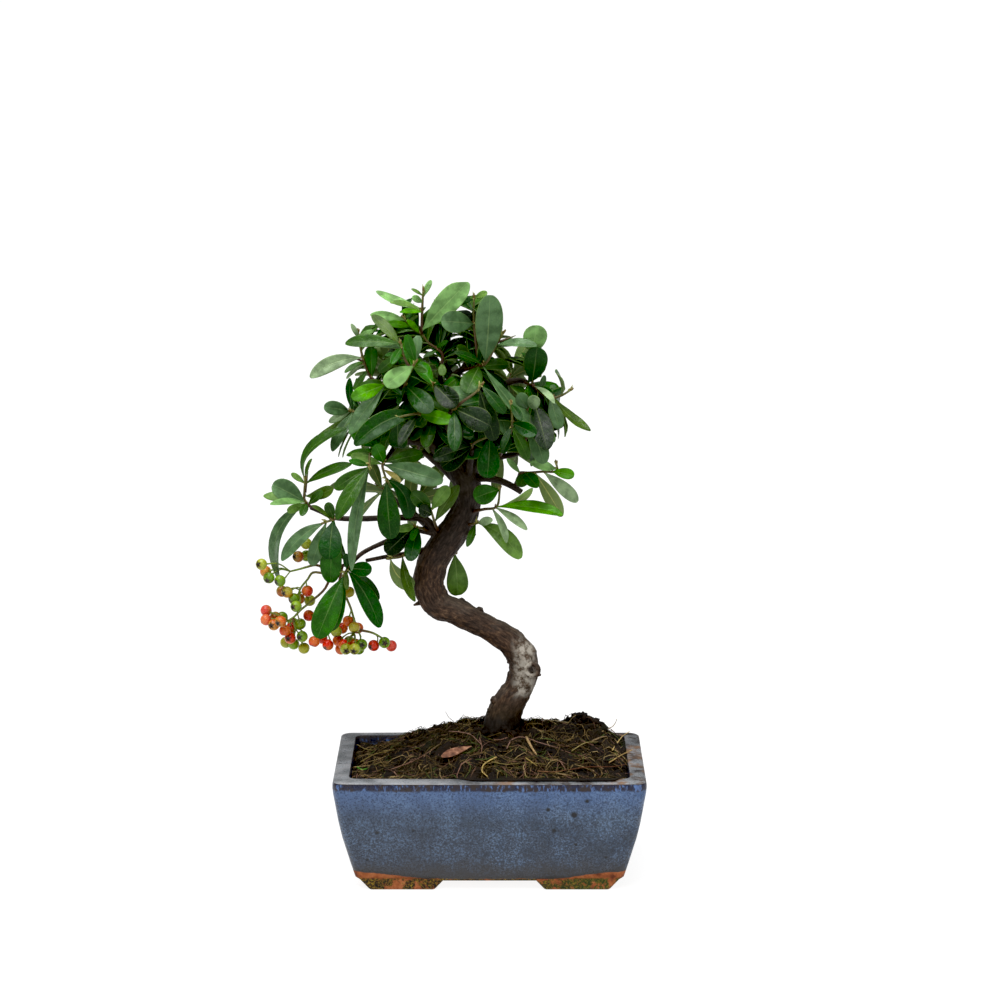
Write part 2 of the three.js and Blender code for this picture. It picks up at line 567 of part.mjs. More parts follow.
// Leaves as [base x, base z, tip x, tip z, width seen, depth gained towards the tip, bend x, bend z];
// a negative width shows the underside
const SPRAYS = [
  { name: "leaves_top", depth: -2,
    twigs: [[[-28, 298], [-27, 305], [-31, 309], [-35, 311.5], [-39, 316.7], [-43, 319], [-49, 326]],
      [[-39, 316.7], [-38.6, 331], [-38, 342]]],
    leaves: [
      [-38.3, 318.7, -12.1, 347, 14, -9], [-38, 338, -33.4, 348, 3.5, 2], [-38, 339, -44.7, 343, 2, -3],
      [-38.2, 335, -44.3, 338.5, 4, -5], [-38.6, 331.5, -65, 341.8, 5, 6, -51.4, 335.3],
      [-38.6, 330, -57, 335, 3, -6],
      [-38.6, 329.4, -51.5, 329.5, 3, -7], [-48, 325, -68.5, 328, 5.5, -6],
      [-45, 321.4, -59, 323.3, 4.5, -9],
      [-40, 318, -47.5, 325, 3.4, -9], [-47, 324, -41, 327.5, 2, 3], [-43, 319, -60, 316.5, 3, 5],
      [-30.5, 309, -24, 313, 2.5, -3], [-29.5, 307.5, -38, 303.5, 2.4, -5],
      [-28, 300.3, -26.8, 292.7, 5, -6]] },
  { name: "leaves_left_upper", depth: -24,
    twigs: [[[-46, 276.5, 25], [-50, 283, 9], [-45, 296], [-42.5, 300.5]], [[-45, 296], [-49, 303],
      [-51, 311]],
      [[-50, 283, 9], [-60, 287.5, 4]]],
    leaves: [
      [-42.6, 300.3, -47.5, 316.5, 6, -4], [-42.5, 300.4, -41, 316, 6, 4],
      [-43.5, 298.5, -60.3, 287, 11, -13],
      [-43.8, 297, -36, 295.3, 3.6, -8], [-49.2, 304, -60, 304.5, 2.4, -7],
      [-50.5, 309, -56.6, 299.4, 5, -10],
      [-49.8, 306, -64, 295, 6, 4], [-51, 311, -83, 311.5, 7.5, 6], [-50.6, 309.5, -67.5, 328, 6.5, 12],
      [-58, 287, -79.5, 279.5, 9, -11], [-57, 286.5, -75, 278, 8, -2], [-60, 287, -81, 258.5, 9, -9],
      [-49.5, 282.5, -33.4, 271.4, 12, -15], [-51, 283, -52.5, 275.5, 3, -6],
      [-55, 285.6, -50.6, 281.4, 3, -5]] },
  { name: "leaves_left_middle", depth: -30,
    twigs: [[[-30, 263, 30], [-36, 270.5, 8], [-46, 270], [-54, 268]]],
    leaves: [
      [-36.5, 270.5, -20.6, 266.3, 8, -12], [-37, 270.3, -78, 252, 12, -5, -60, 266.5],
      [-38, 270, -52.5, 251.5, 6, -12],
      [-53, 268, -52.5, 250.6, 11, 4]] },
  { name: "leaves_upper_middle", depth: -28,
    twigs: [[[-29.6, 275, 29], [-31, 282, 12], [-32.5, 288]]],
    leaves: [[-32.4, 287.5, -19.2, 274.6, 12, -8]] },
  { name: "leaves_far_left_upper", depth: 3,
    twigs: [[[-61, 287.2, -3], [-68, 291.5], [-72, 300], [-74, 308], [-75.4, 318]]],
    thorns: [[[-72.4, 301], [-83, 305]]],
    leaves: [
      [-73, 303, -103.3, 291.5, 9, -6, -89, 300.6], [-72.5, 301, -83.4, 294.5, 3, -7],
      [-72, 299.6, -82.5, 291, 2.4, -2],
      [-71.4, 298, -80, 295, 2.2, 5], [-70, 296, -78.5, 284.5, 4, -5], [-67.6, 291.5, -68, 310, 8, 5],
      [-75, 314, -79.4, 322.8, 3, -3], [-75, 316, -66.4, 318.8, 3, -3]] },
  { name: "leaves_left_outer", depth: 8,
    twigs: [[[-63, 268.4, -5], [-72, 271.4, -1], [-80.5, 272]]],
    leaves: [
      [-79, 272, -80.6, 291.5, 4.5, 4], [-80.4, 272, -95.6, 274.6, 8.4, -10],
      [-80, 271.8, -92.8, 265.6, 4.5, -2],
      [-79.6, 271.8, -102, 254.3, 5, -6, -90, 261.4], [-78.6, 271.8, -91, 248.5, 7, -13]] },
  { name: "leaves_crown", depth: -12,
    twigs: [[[-16, 295.7, 13], [-5, 298.5, 3], [-2, 300], [4, 311], [8, 317.5]],
      [[-6, 298.4, 4], [-8, 312, 5], [-9, 325, 7], [-9, 338, 7]]],
    thorns: [[[4.4, 312], [15, 316]]],
    leaves: [
      [-3.8, 300.3, 0.2, 339.5, 16, -9], [-9, 323, -27.8, 324.2, 13, -10], [-9, 336.6, -1.3, 341, 4, 3],
      [-9, 336, -19.4, 335.2, 4, 4], [-6.4, 299.6, -19.6, 305.8, 4, -9],
      [-12, 296.8, -18.8, 303, 2.5, -5],
      [3.4, 310.8, 27.4, 310, 5, -9], [2.6, 309.4, 13.7, 310.5, 2.4, 5],
      [-5.6, 297.8, 26.2, 262.3, 7, -18, 12.5, 276],
      [-9, 297.4, -13.6, 282.6, 12, -18]] },
  { name: "leaves_right_upper", depth: -8,
    twigs: [[[20, 288.9, 8], [24.4, 288], [25, 305]], [[24.4, 288], [30, 282.5], [36, 280], [41, 281],
      [46.4, 284.2]]],
    leaves: [
      [25, 304.6, 26.6, 322, 14, -16], [24.4, 288.6, 27.2, 309.4, 14, -9],
      [29, 283.6, 31.7, 293, 3.5, -3],
      [27.4, 285.6, 36.4, 282.6, 5, -8], [37, 279.9, 58.4, 260.6, 5.4, -8, 46.4, 268.6],
      [34.5, 280.2, 40.2, 261.8, 8.5, -9],
      [26, 286.8, 37.4, 276.6, 3.4, -14], [31, 282, 37, 269.6, 3, 4]] },
  { name: "leaves_right_middle", depth: -18,
    twigs: [[[19.5, 249.6, 16], [22, 262, 4], [22, 274], [26, 279]]],
    leaves: [
      [24.6, 277.4, 29, 259.6, 10, 4], [21.6, 273, 16.4, 282, 8, -7],
      [22.4, 274.6, 28.4, 279.6, 8, -14], [25.6, 278, 33.2, 249.4, 13, -12],
      [22.2, 267, 31.7, 241.4, 10.5, -1], [22, 260, 24.2, 239.6, 4, -9]] },
  { name: "leaves_right_inner", depth: -30,
    twigs: [[[6, 245.6, 33], [10, 254, 13], [13, 264], [12.4, 276.6]]],
    leaves: [
      [12.6, 265, 27, 258.2, 8.5, -12], [12.4, 276, 18.6, 266.6, 5, -12], [12, 262, 6.8, 249.6, 4, -7],
      [10.6, 256.4, 7.2, 247.4, 5, -12], [12.4, 262.6, 22.4, 243.6, 7, -3]] },
  { name: "leaves_centre_upper", depth: -38,
    twigs: [[[-22.2, 272, 4], [-15, 278], [-8, 283], [-4.6, 287.4]], [[-22.2, 272, 4], [-20, 273.4]]],
    leaves: [
      [-20.4, 273.4, 0.4, 263.6, 14, -12], [-21.8, 271.8, -20.4, 248.6, 8.5, -9],
      [-20.6, 272, -16.6, 252.6, 4, 2],
      [-6, 285.4, 2.7, 254.6, 10.5, -1], [-4.8, 287, 9, 270.6, 7, -6]] },
  { name: "leaves_centre_lower", depth: -24,
    twigs: [[[-10.4, 248.6, 3], [-9.4, 253], [0.4, 257.6]]],
    leaves: [
      [-10.2, 251.6, -32.6, 244.2, 9, -12], [-9.6, 251.6, -27.6, 239.2, 12, -4],
      [0.4, 257.2, -1.5, 233, 13.5, -9]] },
  { name: "leaves_right", depth: -8,
    twigs: [[[17.4, 234.6], [18, 236], [22, 236], [31, 236.7], [39, 237], [38.6, 241.4]]],
    leaves: [
      [38.6, 238, 23.4, 242.2, 6, -8], [36, 236.8, 49, 234.4, 6.5, -4],
      [26, 236.4, 42.2, 210.2, -9, -12],
      [31, 236.7, 51.2, 219, 8, 2], [21, 236, 17.4, 227.6, 7.6, -10], [20, 236, 28, 227.4, 8, -10],
      [17.8, 235.6, 10, 244.4, 3.6, -4]] },
  { name: "leaves_trunk_front_right", depth: -16,
    twigs: [[[-9, 213.4, 12], [-3, 214.6, 2], [4, 216], [6, 226.8]]],
    leaves: [
      [6, 226.4, -9, 221, 12, -8], [4, 216.2, 24.8, 227.2, -4.5, -2, 16, 219],
      [4, 215.6, 42.4, 211.2, 7, -5],
      [3, 215.8, 21.8, 202.3, 5, -11], [1, 215.4, 9.7, 194.6, 4.4, -10]] },
  { name: "leaves_trunk_right", depth: -9,
    twigs: [[[-12, 205.4, 4], [-6.4, 206.5]]],
    leaves: [
      [-7, 206.4, 17.8, 185.2, 11, -12, 7, 199.4], [-7.4, 206.6, 1.7, 208.4, 5, -12],
      [-9, 206, -13.2, 192.4, 4.5, -10]] },
  { name: "leaves_left_front", depth: -28,
    twigs: [[[-61, 242.4, 1], [-62, 240], [-59.6, 231.4]], [[-61, 242.4, 1], [-63, 247.4]]],
    leaves: [
      [-60.6, 240.5, -27, 230.8, 12, -12], [-61, 242.2, -38.6, 247, 8, 8],
      [-61.4, 242, -66.2, 252.6, 8.6, -9], [-61.6, 241, -80.4, 246.2, 6, 5],
      [-63, 247.4, -71.4, 249.8, 3, -5], [-62.6, 246, -82.8, 246.6, 5, 12],
      [-59.8, 232, -57.4, 196.9, 13.5, -6],
      [-59.7, 232.4, -47.6, 209, 10, 6, -49.4, 223], [-60.6, 238, -51.4, 230.6, 3, -8]] },
  { name: "leaves_left_strap", depth: -38,
    twigs: [[[-60, 255.2, 36], [-66, 251, 19], [-69.4, 246, 4], [-69.4, 239.6]]],
    leaves: [
      [-69, 239.6, -89.8, 226.6, 8, -1], [-68.8, 239.4, -88.8, 208.4, 9, -7],
      [-68.6, 239.6, -80.4, 177.9, 7.5, -3, -77, 211],
      [-68.4, 240.4, -81.4, 243.2, 4, -6]] },
  { name: "leaves_far_left", depth: -3,
    twigs: [[[-102, 214.8], [-107, 219], [-107.2, 226], [-106.6, 232.4]]],
    thorns: [[[-106.8, 224.4], [-105, 237]]],
    leaves: [
      [-106.8, 231.4, -82.6, 261.9, 5, -4, -104.4, 248.4],
      [-107, 229.4, -79.7, 241.2, 6, -6, -95, 236.6],
      [-107, 219, -125.8, 229.2, 12.5, -8], [-107, 218.6, -131.2, 222.6, 6, 4],
      [-106.6, 218.2, -127.3, 217.5, 4, -7],
      [-106, 217.6, -117.4, 213.2, 5, -9], [-106, 218, -109.2, 210.6, 5, -9],
      [-107, 229.8, -114.8, 235.7, 3.6, -3],
      [-106.7, 231.8, -102.8, 244.4, 2.2, -2], [-107, 222.4, -90.6, 227.2, 7, -7, -98.4, 223.4],
      [-105, 217.2, -96.6, 225.4, 5, -8],
      [-106.4, 217.8, -122.1, 171.3, 7, 4, -123.6, 199.6]] },
  { name: "leaves_left_hanging", depth: -12,
    twigs: [[[-86, 209.7, 8], [-90.5, 208.5, 1], [-96, 206.6]]],
    leaves: [
      [-89, 209, -94.4, 218.4, 6, -5], [-92, 208.2, -103.2, 216.8, 2.4, -5],
      [-95, 206.9, -120.9, 184, 8, -5, -109.4, 198.2],
      [-94.6, 207, -103.6, 181.2, 9, -1], [-90.8, 208.6, -93.2, 184.9, 14, -11],
      [-88.4, 209, -83.4, 183.4, 5, 7],
      [-90, 208.6, -92.6, 170.9, 13, 3]] },
  { name: "leaves_low_left", depth: -12,
    twigs: [[[-79, 183.2, 8], [-83, 179, 1], [-84.8, 175.6]]],
    leaves: [
      [-84.6, 176, -100.7, 137.9, 15, -12], [-84, 176.8, -92.6, 142.4, 11, 0],
      [-82.6, 178.6, -64.2, 144.2, 11, -8, -71.6, 162.6],
      [-80.6, 181, -64.3, 161, 6, 9], [-81, 181, -68.6, 178.6, 9, -10], [-83, 179, -83.2, 188.4, 4, -4],
      [-83.4, 178.4, -83.2, 166.6, 3.4, -6]] },
  { name: "leaves_trunk_upper", depth: -16,
    twigs: [[[-30, 202, 17], [-32, 207, 2], [-34, 214]]],
    leaves: [
      [-33.8, 213.4, -45.4, 224.6, 9, -7], [-34, 214, -23.6, 228, 8, -6],
      [-31, 204, -17.8, 228.8, 7.5, -2],
      [-33, 211, -41, 215.4, 8, -12]] },
  { name: "leaves_trunk_left", depth: -10,
    twigs: [[[-36, 202, 10], [-43.4, 204.6]]],
    leaves: [
      [-43, 204.4, -60.4, 188.6, 11, -6], [-38, 202.8, -46.4, 183.9, 9.5, -12],
      [-39, 203.2, -45, 196, 4, -14],
      [-43.2, 204.6, -54, 202.2, 5, -3]] },
  { name: "leaves_low_middle", depth: -3,
    twigs: [[[-48, 188.5, 5], [-52, 186.4], [-58, 185.4]]],
    leaves: [[-57.6, 185.4, -43.6, 169.4, -10, -8, -53.4, 175], [-49, 187.8, -43.4, 159.8, 6, -12]] },
  { name: "leaves_behind_trunk", depth: 11,
    twigs: [[[-25, 191.4, -4], [-20.4, 189]]],
    leaves: [[-20.4, 189, -18.4, 163.4, 13, 2], [-21, 189.4, -25.6, 196, 4, 6]] },
];

// Shoots behind and inside the crown: start and end as [x, z, depth], leaves borne and their length
const INNER_SHOOTS = [
  { name: "leaves_back_right", from: [4.5, 265, 34], to: [10, 277, 47], count: 7, length: 29, seed: 11 },
  { name: "leaves_back_right_low", from: [-1, 256, 25], to: [9, 253, 43], count: 7, length: 28, seed: 12 },
  { name: "leaves_back_middle", from: [-4, 249, 15], to: [-15, 254, 34], count: 7, length: 28, seed: 13 },
  { name: "leaves_back_left_top", from: [-49, 286, 34], to: [-54, 297, 45], count: 7, length: 29, seed: 14 },
  { name: "leaves_back_top", from: [-42, 275, 25], to: [-34, 287, 44], count: 7, length: 30, seed: 15 },
  { name: "leaves_back_left", from: [-36, 267.4, 17], to: [-52, 266, 35], count: 7, length: 29, seed: 16 },
  { name: "leaves_inner_top", from: [-12.6, 302, 21], to: [-13, 317, 28], count: 7, length: 27, seed: 17 },
  { name: "leaves_inner_left_top", from: [-20, 291, 11], to: [-28, 305, 20], count: 7, length: 25, seed: 18 },
  { name: "leaves_inner_right_top", from: [10, 288, 2], to: [14, 296, 14], count: 7, length: 23, seed: 29 },
  { name: "leaves_back_low", from: [-57, 222, 34], to: [-65, 229, 44], count: 7, length: 28, seed: 20 },
  { name: "leaves_back_low_middle", from: [-50, 216, 24], to: [-41, 222, 40], count: 7, length: 26, seed: 21 },
  { name: "leaves_back_far_right", from: [2.4, 262, 32], to: [18, 262, 40], count: 7, length: 27, seed: 24 },
  { name: "leaves_back_centre", from: [-37, 268.6, 18], to: [-22, 272, 36], count: 7, length: 27, seed: 25 },
  { name: "leaves_inner_right", from: [13, 249, 3], to: [17, 262, 20], count: 7, length: 22, seed: 22 },
  { name: "leaves_inner_left", from: [-40, 254, 4], to: [-44, 243, 16], count: 6, length: 21, seed: 23 },
];
const GOLDEN_ANGLE = THREE.MathUtils.degToRad(137.5);
const LEAF_DROOP = 0.22;

// Leaves in a spiral round a shoot: each stands off it, droops a little and shows its upper side outwards
function leavesRound({ from, to, count, length, seed }) {
  const roll = dice(seed);
  const start = seen(...from);
  const end = seen(...to);
  const along = end.clone().sub(start).normalize();
  const aside = new THREE.Vector3(0, 0, 1).cross(along).normalize();
  const leaves = [];
  for (let k = 0; k < count; k++) {
    const share = k / (count - 1);
    const spread = THREE.MathUtils.degToRad(82 - 44 * share + 10 * (roll() - 0.5));
    const around = aside.clone().applyAxisAngle(along, k * GOLDEN_ANGLE + 0.5 * roll());
    const way = along.clone().multiplyScalar(Math.cos(spread)).addScaledVector(around, Math.sin(spread));
    const reach = length * (0.75 + 0.45 * roll());
    const root = start.clone().lerp(end, 0.3 + 0.68 * share);
    const tip = root.clone().addScaledVector(way, reach);
    tip.z -= LEAF_DROOP * reach;
    const upper = along.clone().addScaledVector(around, -0.3);
    upper.z += 0.6;
    leaves.push({ root, tip, upper, inner: true, width: reach * (0.28 + 0.07 * roll()) });
  }
  return leaves;
}

function innerSpray(shoot) {
  return { name: shoot.name, depth: 0, twigs: [[shoot.from, shoot.to]], leaves: leavesRound(shoot) };
}

const sprays = [
  ...SPRAYS.map((spray) => ({ ...spray, leaves: leavesSeen(spray) })),
  ...INNER_SHOOTS.map(innerSpray),
];
for (const spray of sprays) keepRoom(spray.name, twigShapes(spray, CLEARANCE));
for (const spray of sprays) addSpray(spray);

// Bunches of berries: stalks as lists of [x, z, depth], and each berry's centre as [x, z, depth]
const BUNCHES = [
  { name: "berries_far_left", depth: -2,
    stalks: [[[-94.6, 179.1, 7.8], [-101, 181.5, 4], [-106, 180.5], [-110, 179.3], [-116, 177.8, 4]],
      [[-101, 181.5, 4], [-103.6, 189, 6]]],
    berries: [[-132.7, 182, 0], [-130.3, 177.7, 3], [-128.5, 174, -3], [-122, 172.2, -1],
      [-106.5, 194.2, 5],
      [-111.3, 186.5, 2], [-106.5, 187, 7]] },
  { name: "berries_left_middle", depth: 2,
    stalks: [[[-88.4, 180.4, 1.2], [-95, 176.8, -2], [-103, 177], [-106, 173], [-110, 168],
      [-111.5, 164]]],
    berries: [[-121, 166, 2], [-118, 165.5, -3], [-114, 161.5, -3], [-111, 161.5, 3], [-112.8, 157, 0],
      [-106.2, 166.2, -1], [-104.8, 160.5, 4]] },
  { name: "berries_low_left", depth: 4,
    stalks: [[[-91.6, 179.7, 0.6], [-95.6, 168, 2], [-104, 160], [-110, 155], [-115, 150],
      [-119.5, 147.6]],
      [[-115, 150], [-113, 143]]],
    berries: [[-130.3, 154.5, 1], [-130.5, 149, -2], [-126, 146, -5], [-125, 150.5, 4],
      [-121, 150.5, 5], [-122, 148, -1],
      [-119.5, 142.5, -5], [-115.8, 144, 3], [-116.5, 138, -4], [-114.8, 147, 4], [-110.5, 146.5, 0],
      [-109.5, 139, -4],
      [-119, 135.5, 3], [-114.5, 134.5, 2], [-108.5, 132, 1]] },
  { name: "berries_low_middle", depth: 6,
    stalks: [[[-85.6, 181.2, -4], [-88.4, 168, 1], [-92, 156, 2], [-98, 145], [-100, 141]],
      [[-92, 156, 2], [-90, 147]]],
    berries: [[-102.5, 136, -6], [-98, 138, 3], [-94.5, 134, -6], [-105.5, 151.5, 4], [-86, 144, -1],
      [-89.5, 142, -4]] },
  { name: "berries_right", depth: 1,
    stalks: [[[-82.4, 182.2, -1], [-84.4, 166, -2], [-81, 156], [-78.4, 147], [-75.2, 138.6]],
      [[-79.3, 150], [-79, 140]], [[-76.6, 143], [-68.4, 141.2], [-62.6, 138]]],
    berries: [[-82.5, 148.2, 2], [-79, 144.5, -3], [-77, 144, 4], [-88.5, 136.5, 0], [-85, 134, -5],
      [-87, 131.5, 4],
      [-84, 131.5, -8], [-82, 136, 3], [-78.5, 134.5, 2], [-79, 131.5, -3], [-74.8, 134.2, -5],
      [-76.5, 131.5, 1],
      [-67.8, 133.6, -1], [-61.5, 135.4, -3], [-57.5, 133.4, 1], [-82, 165.5, -3]] },
];

const BERRY_SWINGS = [0, -2, 2, -4, 4, -7, 7, -10, 10, -14, 14];
const STALK_DIAMETER = 1.5;
const PEDICEL_DIAMETER = 1;
const BUD_SPACING = 1.7;
const BARE_SHARE = 0.15;
const BUD_CHOICE = 6;

function stalkLines({ depth, stalks }) {
  return stalks.map((points) => points.map(([x, z, more = 0]) => seen(x, z, depth + more)));
}

function stalkShapes(lines, grow = 0) {
  return lines.map((line) => stem(line, line.map(() => STALK_DIAMETER), 3, 1, grow));
}

const BERRY_FACET = 1.06;
const ICOSAHEDRON_FACE = new THREE.Vector3(1, 1, 1).normalize();

// A berry, one face of which is turned to its pedicel, or the room that both need
function hangingBerry(start, centre, grow = 0) {
  const berry = new THREE.IcosahedronGeometry(BERRY_DIAMETER / 2 * BERRY_FACET + 2 * grow, 0);
  const upward = start.clone().sub(centre).normalize();
  berry.applyQuaternion(new THREE.Quaternion().setFromUnitVectors(ICOSAHEDRON_FACE, upward));
  const pedicel = stem([start, centre], [PEDICEL_DIAMETER, PEDICEL_DIAMETER], 3, 1, grow);
  return joined([pedicel, solid(berry).translate(centre.toArray())]);
}

// Places on the outer part of the stalks from which pedicels spring, one each
function budsOn(lines) {
  const buds = [];
  for (const line of lines) {
    const curve = new THREE.CatmullRomCurve3(line);
    const length = curve.getLength();
    const count = Math.floor((1 - BARE_SHARE) * length / BUD_SPACING);
    for (let k = 0; k <= count; k++) buds.push(curve.getPointAt(0.99 - k * BUD_SPACING / length));
  }
  return buds;
}

// Where a berry can hang: at each depth from each of the nearest buds, clear of every other node
function hangings([x, z, more], bunch, buds) {
  const found = [];
  for (const swing of BERRY_SWINGS) {
    const centre = seen(x, z, bunch.depth + more + swing);
    const above = centre.clone().add(new THREE.Vector3(0, 0, 4));
    const nearest = [...buds].sort((a, b) => a.distanceTo(above) - b.distanceTo(above));
    for (const start of nearest.slice(0, BUD_CHOICE)) {
      if (!meetsOthers(hangingBerry(start, centre, CLEARANCE), bunch.name)) found.push({ start, centre });
    }
  }
  return found;
}

// A berry with the pedicel's lower part, which its neighbours keep clear of
function outerPart({ start, centre }) {
  return hangingBerry(start.clone().lerp(centre, 0.3), centre);
}

// A bunch: each berry hangs where it is seen, if it can be, clear of its neighbours and of their pedicels
function addBunch(bunch) {
  const lines = stalkLines(bunch);
  const buds = budsOn(lines);
  const shapes = stalkShapes(lines);
  const ownRooms = [...shapes];
  for (const berry of bunch.berries) {
    const places = hangings(berry, bunch, buds);
    const crosses = (place) => ownRooms.some((other) => !other.intersect(outerPart(place)).isEmpty());
    const free = places.find((place) => !crosses(place));
    const place = free ?? places[0];
    ownRooms.push(outerPart(place));
    buds.splice(buds.indexOf(place.start), 1);
    shapes.push(hangingBerry(place.start, place.centre));
  }
  addNode(bunch.name, joined(shapes).subtract(woodRoom), BERRY);
}

for (const bunch of BUNCHES) keepRoom(bunch.name, stalkShapes(stalkLines(bunch), CLEARANCE));
for (const bunch of BUNCHES) addBunch(bunch);

// The part's frame: its origin lies on the ground, in the middle of the whole part as seen from above
const middle = new THREE.Box3().setFromObject(plant).getCenter(new THREE.Vector3());
for (const mesh of plant.children) mesh.geometry.translate(-middle.x, -middle.y, 0);

export default plant;
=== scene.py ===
import math
from functools import partial
import bpy
import bmesh
from mathutils import Matrix, Quaternion, Vector, noise
from mathutils.geometry import interpolate_bezier, intersect_point_line
from mathutils.kdtree import KDTree


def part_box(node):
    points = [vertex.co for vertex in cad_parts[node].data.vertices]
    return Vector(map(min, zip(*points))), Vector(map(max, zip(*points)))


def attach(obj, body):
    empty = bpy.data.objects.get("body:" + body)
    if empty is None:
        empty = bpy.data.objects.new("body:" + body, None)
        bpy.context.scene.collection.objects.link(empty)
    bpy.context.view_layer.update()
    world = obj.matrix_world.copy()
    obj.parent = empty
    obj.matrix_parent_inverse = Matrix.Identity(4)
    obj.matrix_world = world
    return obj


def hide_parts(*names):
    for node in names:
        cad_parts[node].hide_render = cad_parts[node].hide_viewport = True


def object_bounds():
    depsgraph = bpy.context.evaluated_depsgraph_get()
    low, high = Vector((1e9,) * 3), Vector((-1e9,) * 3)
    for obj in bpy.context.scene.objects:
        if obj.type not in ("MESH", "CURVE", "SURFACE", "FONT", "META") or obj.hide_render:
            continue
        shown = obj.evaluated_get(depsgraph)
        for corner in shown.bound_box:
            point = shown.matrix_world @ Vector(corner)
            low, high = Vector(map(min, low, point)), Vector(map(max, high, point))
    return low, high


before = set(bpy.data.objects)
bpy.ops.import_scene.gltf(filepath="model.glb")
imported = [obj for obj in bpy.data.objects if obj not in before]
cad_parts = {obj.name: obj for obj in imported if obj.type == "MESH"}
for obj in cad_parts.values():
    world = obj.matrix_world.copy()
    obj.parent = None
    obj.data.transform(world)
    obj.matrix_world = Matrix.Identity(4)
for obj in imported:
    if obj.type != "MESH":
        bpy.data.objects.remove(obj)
cad_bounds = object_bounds()

# The viewpoint: a long lens 1.9 m in front of the pot, above its middle, that looks down by ten degrees.
# All places below are millimetres from the middle of the pot's footprint, with +X right and +Y away,
# and TO_METRES carries them into the model's frame.
MM = 0.001
pot_low, pot_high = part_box("pot")
POT_MIDDLE = Vector(((pot_low.x + pot_high.x) / 2, (pot_low.y + pot_high.y) / 2, 0))
TO_METRES = Matrix.Translation(POT_MIDDLE) @ Matrix.Scale(MM, 4)
VIEWPOINT = Vector((6, -1900, 567))
LOOKING_DOWN = math.radians(10.35)


def placed(name, data):
    """A new object in the scene."""
    thing = bpy.data.objects.new(name, data)
    bpy.context.collection.objects.link(thing)
    return thing


camera_data = bpy.data.cameras.new("camera")
camera_data.lens = 120
camera_data.sensor_width = 36
camera_data.clip_end = 60
camera = placed("camera", camera_data)
camera.location = TO_METRES @ VIEWPOINT
camera.rotation_euler = (math.pi / 2 - LOOKING_DOWN, 0, 0)
bpy.context.scene.camera = camera

# The pot: slip-cast terracotta on four corner feet, dipped in a mottled blue glaze that stops short of
# the base. Two drainage holes go through its floor. Levels give the outline's width at each height,
# and the depth is always 60 mm less.
POT_OUTSIDE = (
    (151.4, 4.9), (155.4, 6.8), (157, 9.4), (160.8, 16), (165.2, 24), (169.6, 32), (173.8, 42), (177, 52),
    (179.2, 58.6), (180, 62.4), (179.9, 64.6), (179.3, 65.8), (177.6, 66.4))
POT_INSIDE = ((163.4, 67), (161.6, 66.8), (160.8, 66), (160.2, 61), (157.4, 54), (153, 41), (148, 26),
    (144, 15))
POT_CORNER = 4.6
WIDTH_OVER_DEPTH = 60
POT_REACH = 92
SIDE_BOW = 0.02
STRAIGHT_EDGE = 20
WALL_CUTS = 22
FOOT_SIZE = (53, 32, 8)
FOOT_TAPER = (0.7, 0.9)
FOOT_PLACE = (50.5, 31)
SOLE_SHIFT = 3
FOOT_ROUNDING = 1.4
DRAIN_HOLE = 16
DRAIN_SPACING = 76
GLAZE_EDGE = 6.4
CRACK_PLACE = -13.0
CREASE = math.radians(35)
# Front of the pot: its y at the foot, what it gains with height, and how far its middle bows out
FRONT_FOOT = -47.2
FRONT_LEAN = -0.219
FRONT_BOW = 1.15
# Pinholes in the front of the glaze: x, z and radius
PINHOLES = (
    (33.5, 50.7, 1.0), (48.4, 47.4, 1.7), (37.0, 37.8, 1.1), (49.5, 28.8, 0.8), (-64.5, 36.3, 0.9),
    (-43.7, 37.8, 0.7), (55.8, 55.8, 1.0), (-70.5, 18.9, 0.6), (66.9, 20.4, 0.6))
# Settings that nearly all nodes of a kind share
USUAL_SETTINGS = {"Mix": {"data_type": "RGBA"}, "MapRange": {"interpolation_type": "SMOOTHSTEP"}}


def linear(code):
    """An sRGB hex colour as linear red, green, blue and alpha."""
    parts = [int(code[k:k + 2], 16) / 255 for k in (1, 3, 5)]
    return [v / 12.92 if v <= 0.04045 else ((v + 0.055) / 1.055) ** 2.4 for v in parts] + [1]


def add_node(tree, kind, *values, output=None, **settings):
    """Adds a shader node with its settings. Numbers, hex colours and outputs to link go to its inputs in
    order, or by name in a dictionary. Gives back its first output, the one that is named, or all of them."""
    node = tree.nodes.new("ShaderNode" + kind)
    for name, value in {**USUAL_SETTINGS.get(kind, {}), **settings}.items():
        if name == "stops":
            elements = node.color_ramp.elements
            elements.remove(elements[1])
            for k, (position, code) in enumerate(value):
                element = elements.new(position) if k else elements[0]
                element.position = position
                element.color = linear(code)
        else:
            setattr(node, name, value)
    if values and isinstance(values[0], dict):
        pairs = [(node.inputs[name], value) for name, value in values[0].items()]
    else:
        pairs = zip((socket for socket in node.inputs if socket.enabled), values)
    for socket, value in pairs:
        if isinstance(value, bpy.types.NodeSocket):
            tree.links.new(value, socket)
        elif value is not None:
            socket.default_value = linear(value) if isinstance(value, str) else value
    outputs = [socket for socket in node.outputs if socket.enabled]
    return outputs if output == "all" else node.outputs[output] if output else outputs[0]


def new_material(name, **gloss):
    """A named material, the function that adds to its nodes, and its shader with the values given."""
    material = bpy.data.materials.new(name)
    material.use_nodes = True
    shader = material.node_tree.nodes["Principled BSDF"]
    for socket, value in gloss.items():
        shader.inputs[socket.replace("_", " ")].default_value = value
    return material, partial(add_node, material.node_tree), shader


def millimetres(add):
    """The place on a piece in millimetres from the middle of the pot's footprint."""
    place = add("TexCoord", output="Object")
    return add("Mapping", {"Vector": place, "Location": -POT_MIDDLE / MM, "Scale": (1 / MM,) * 3})


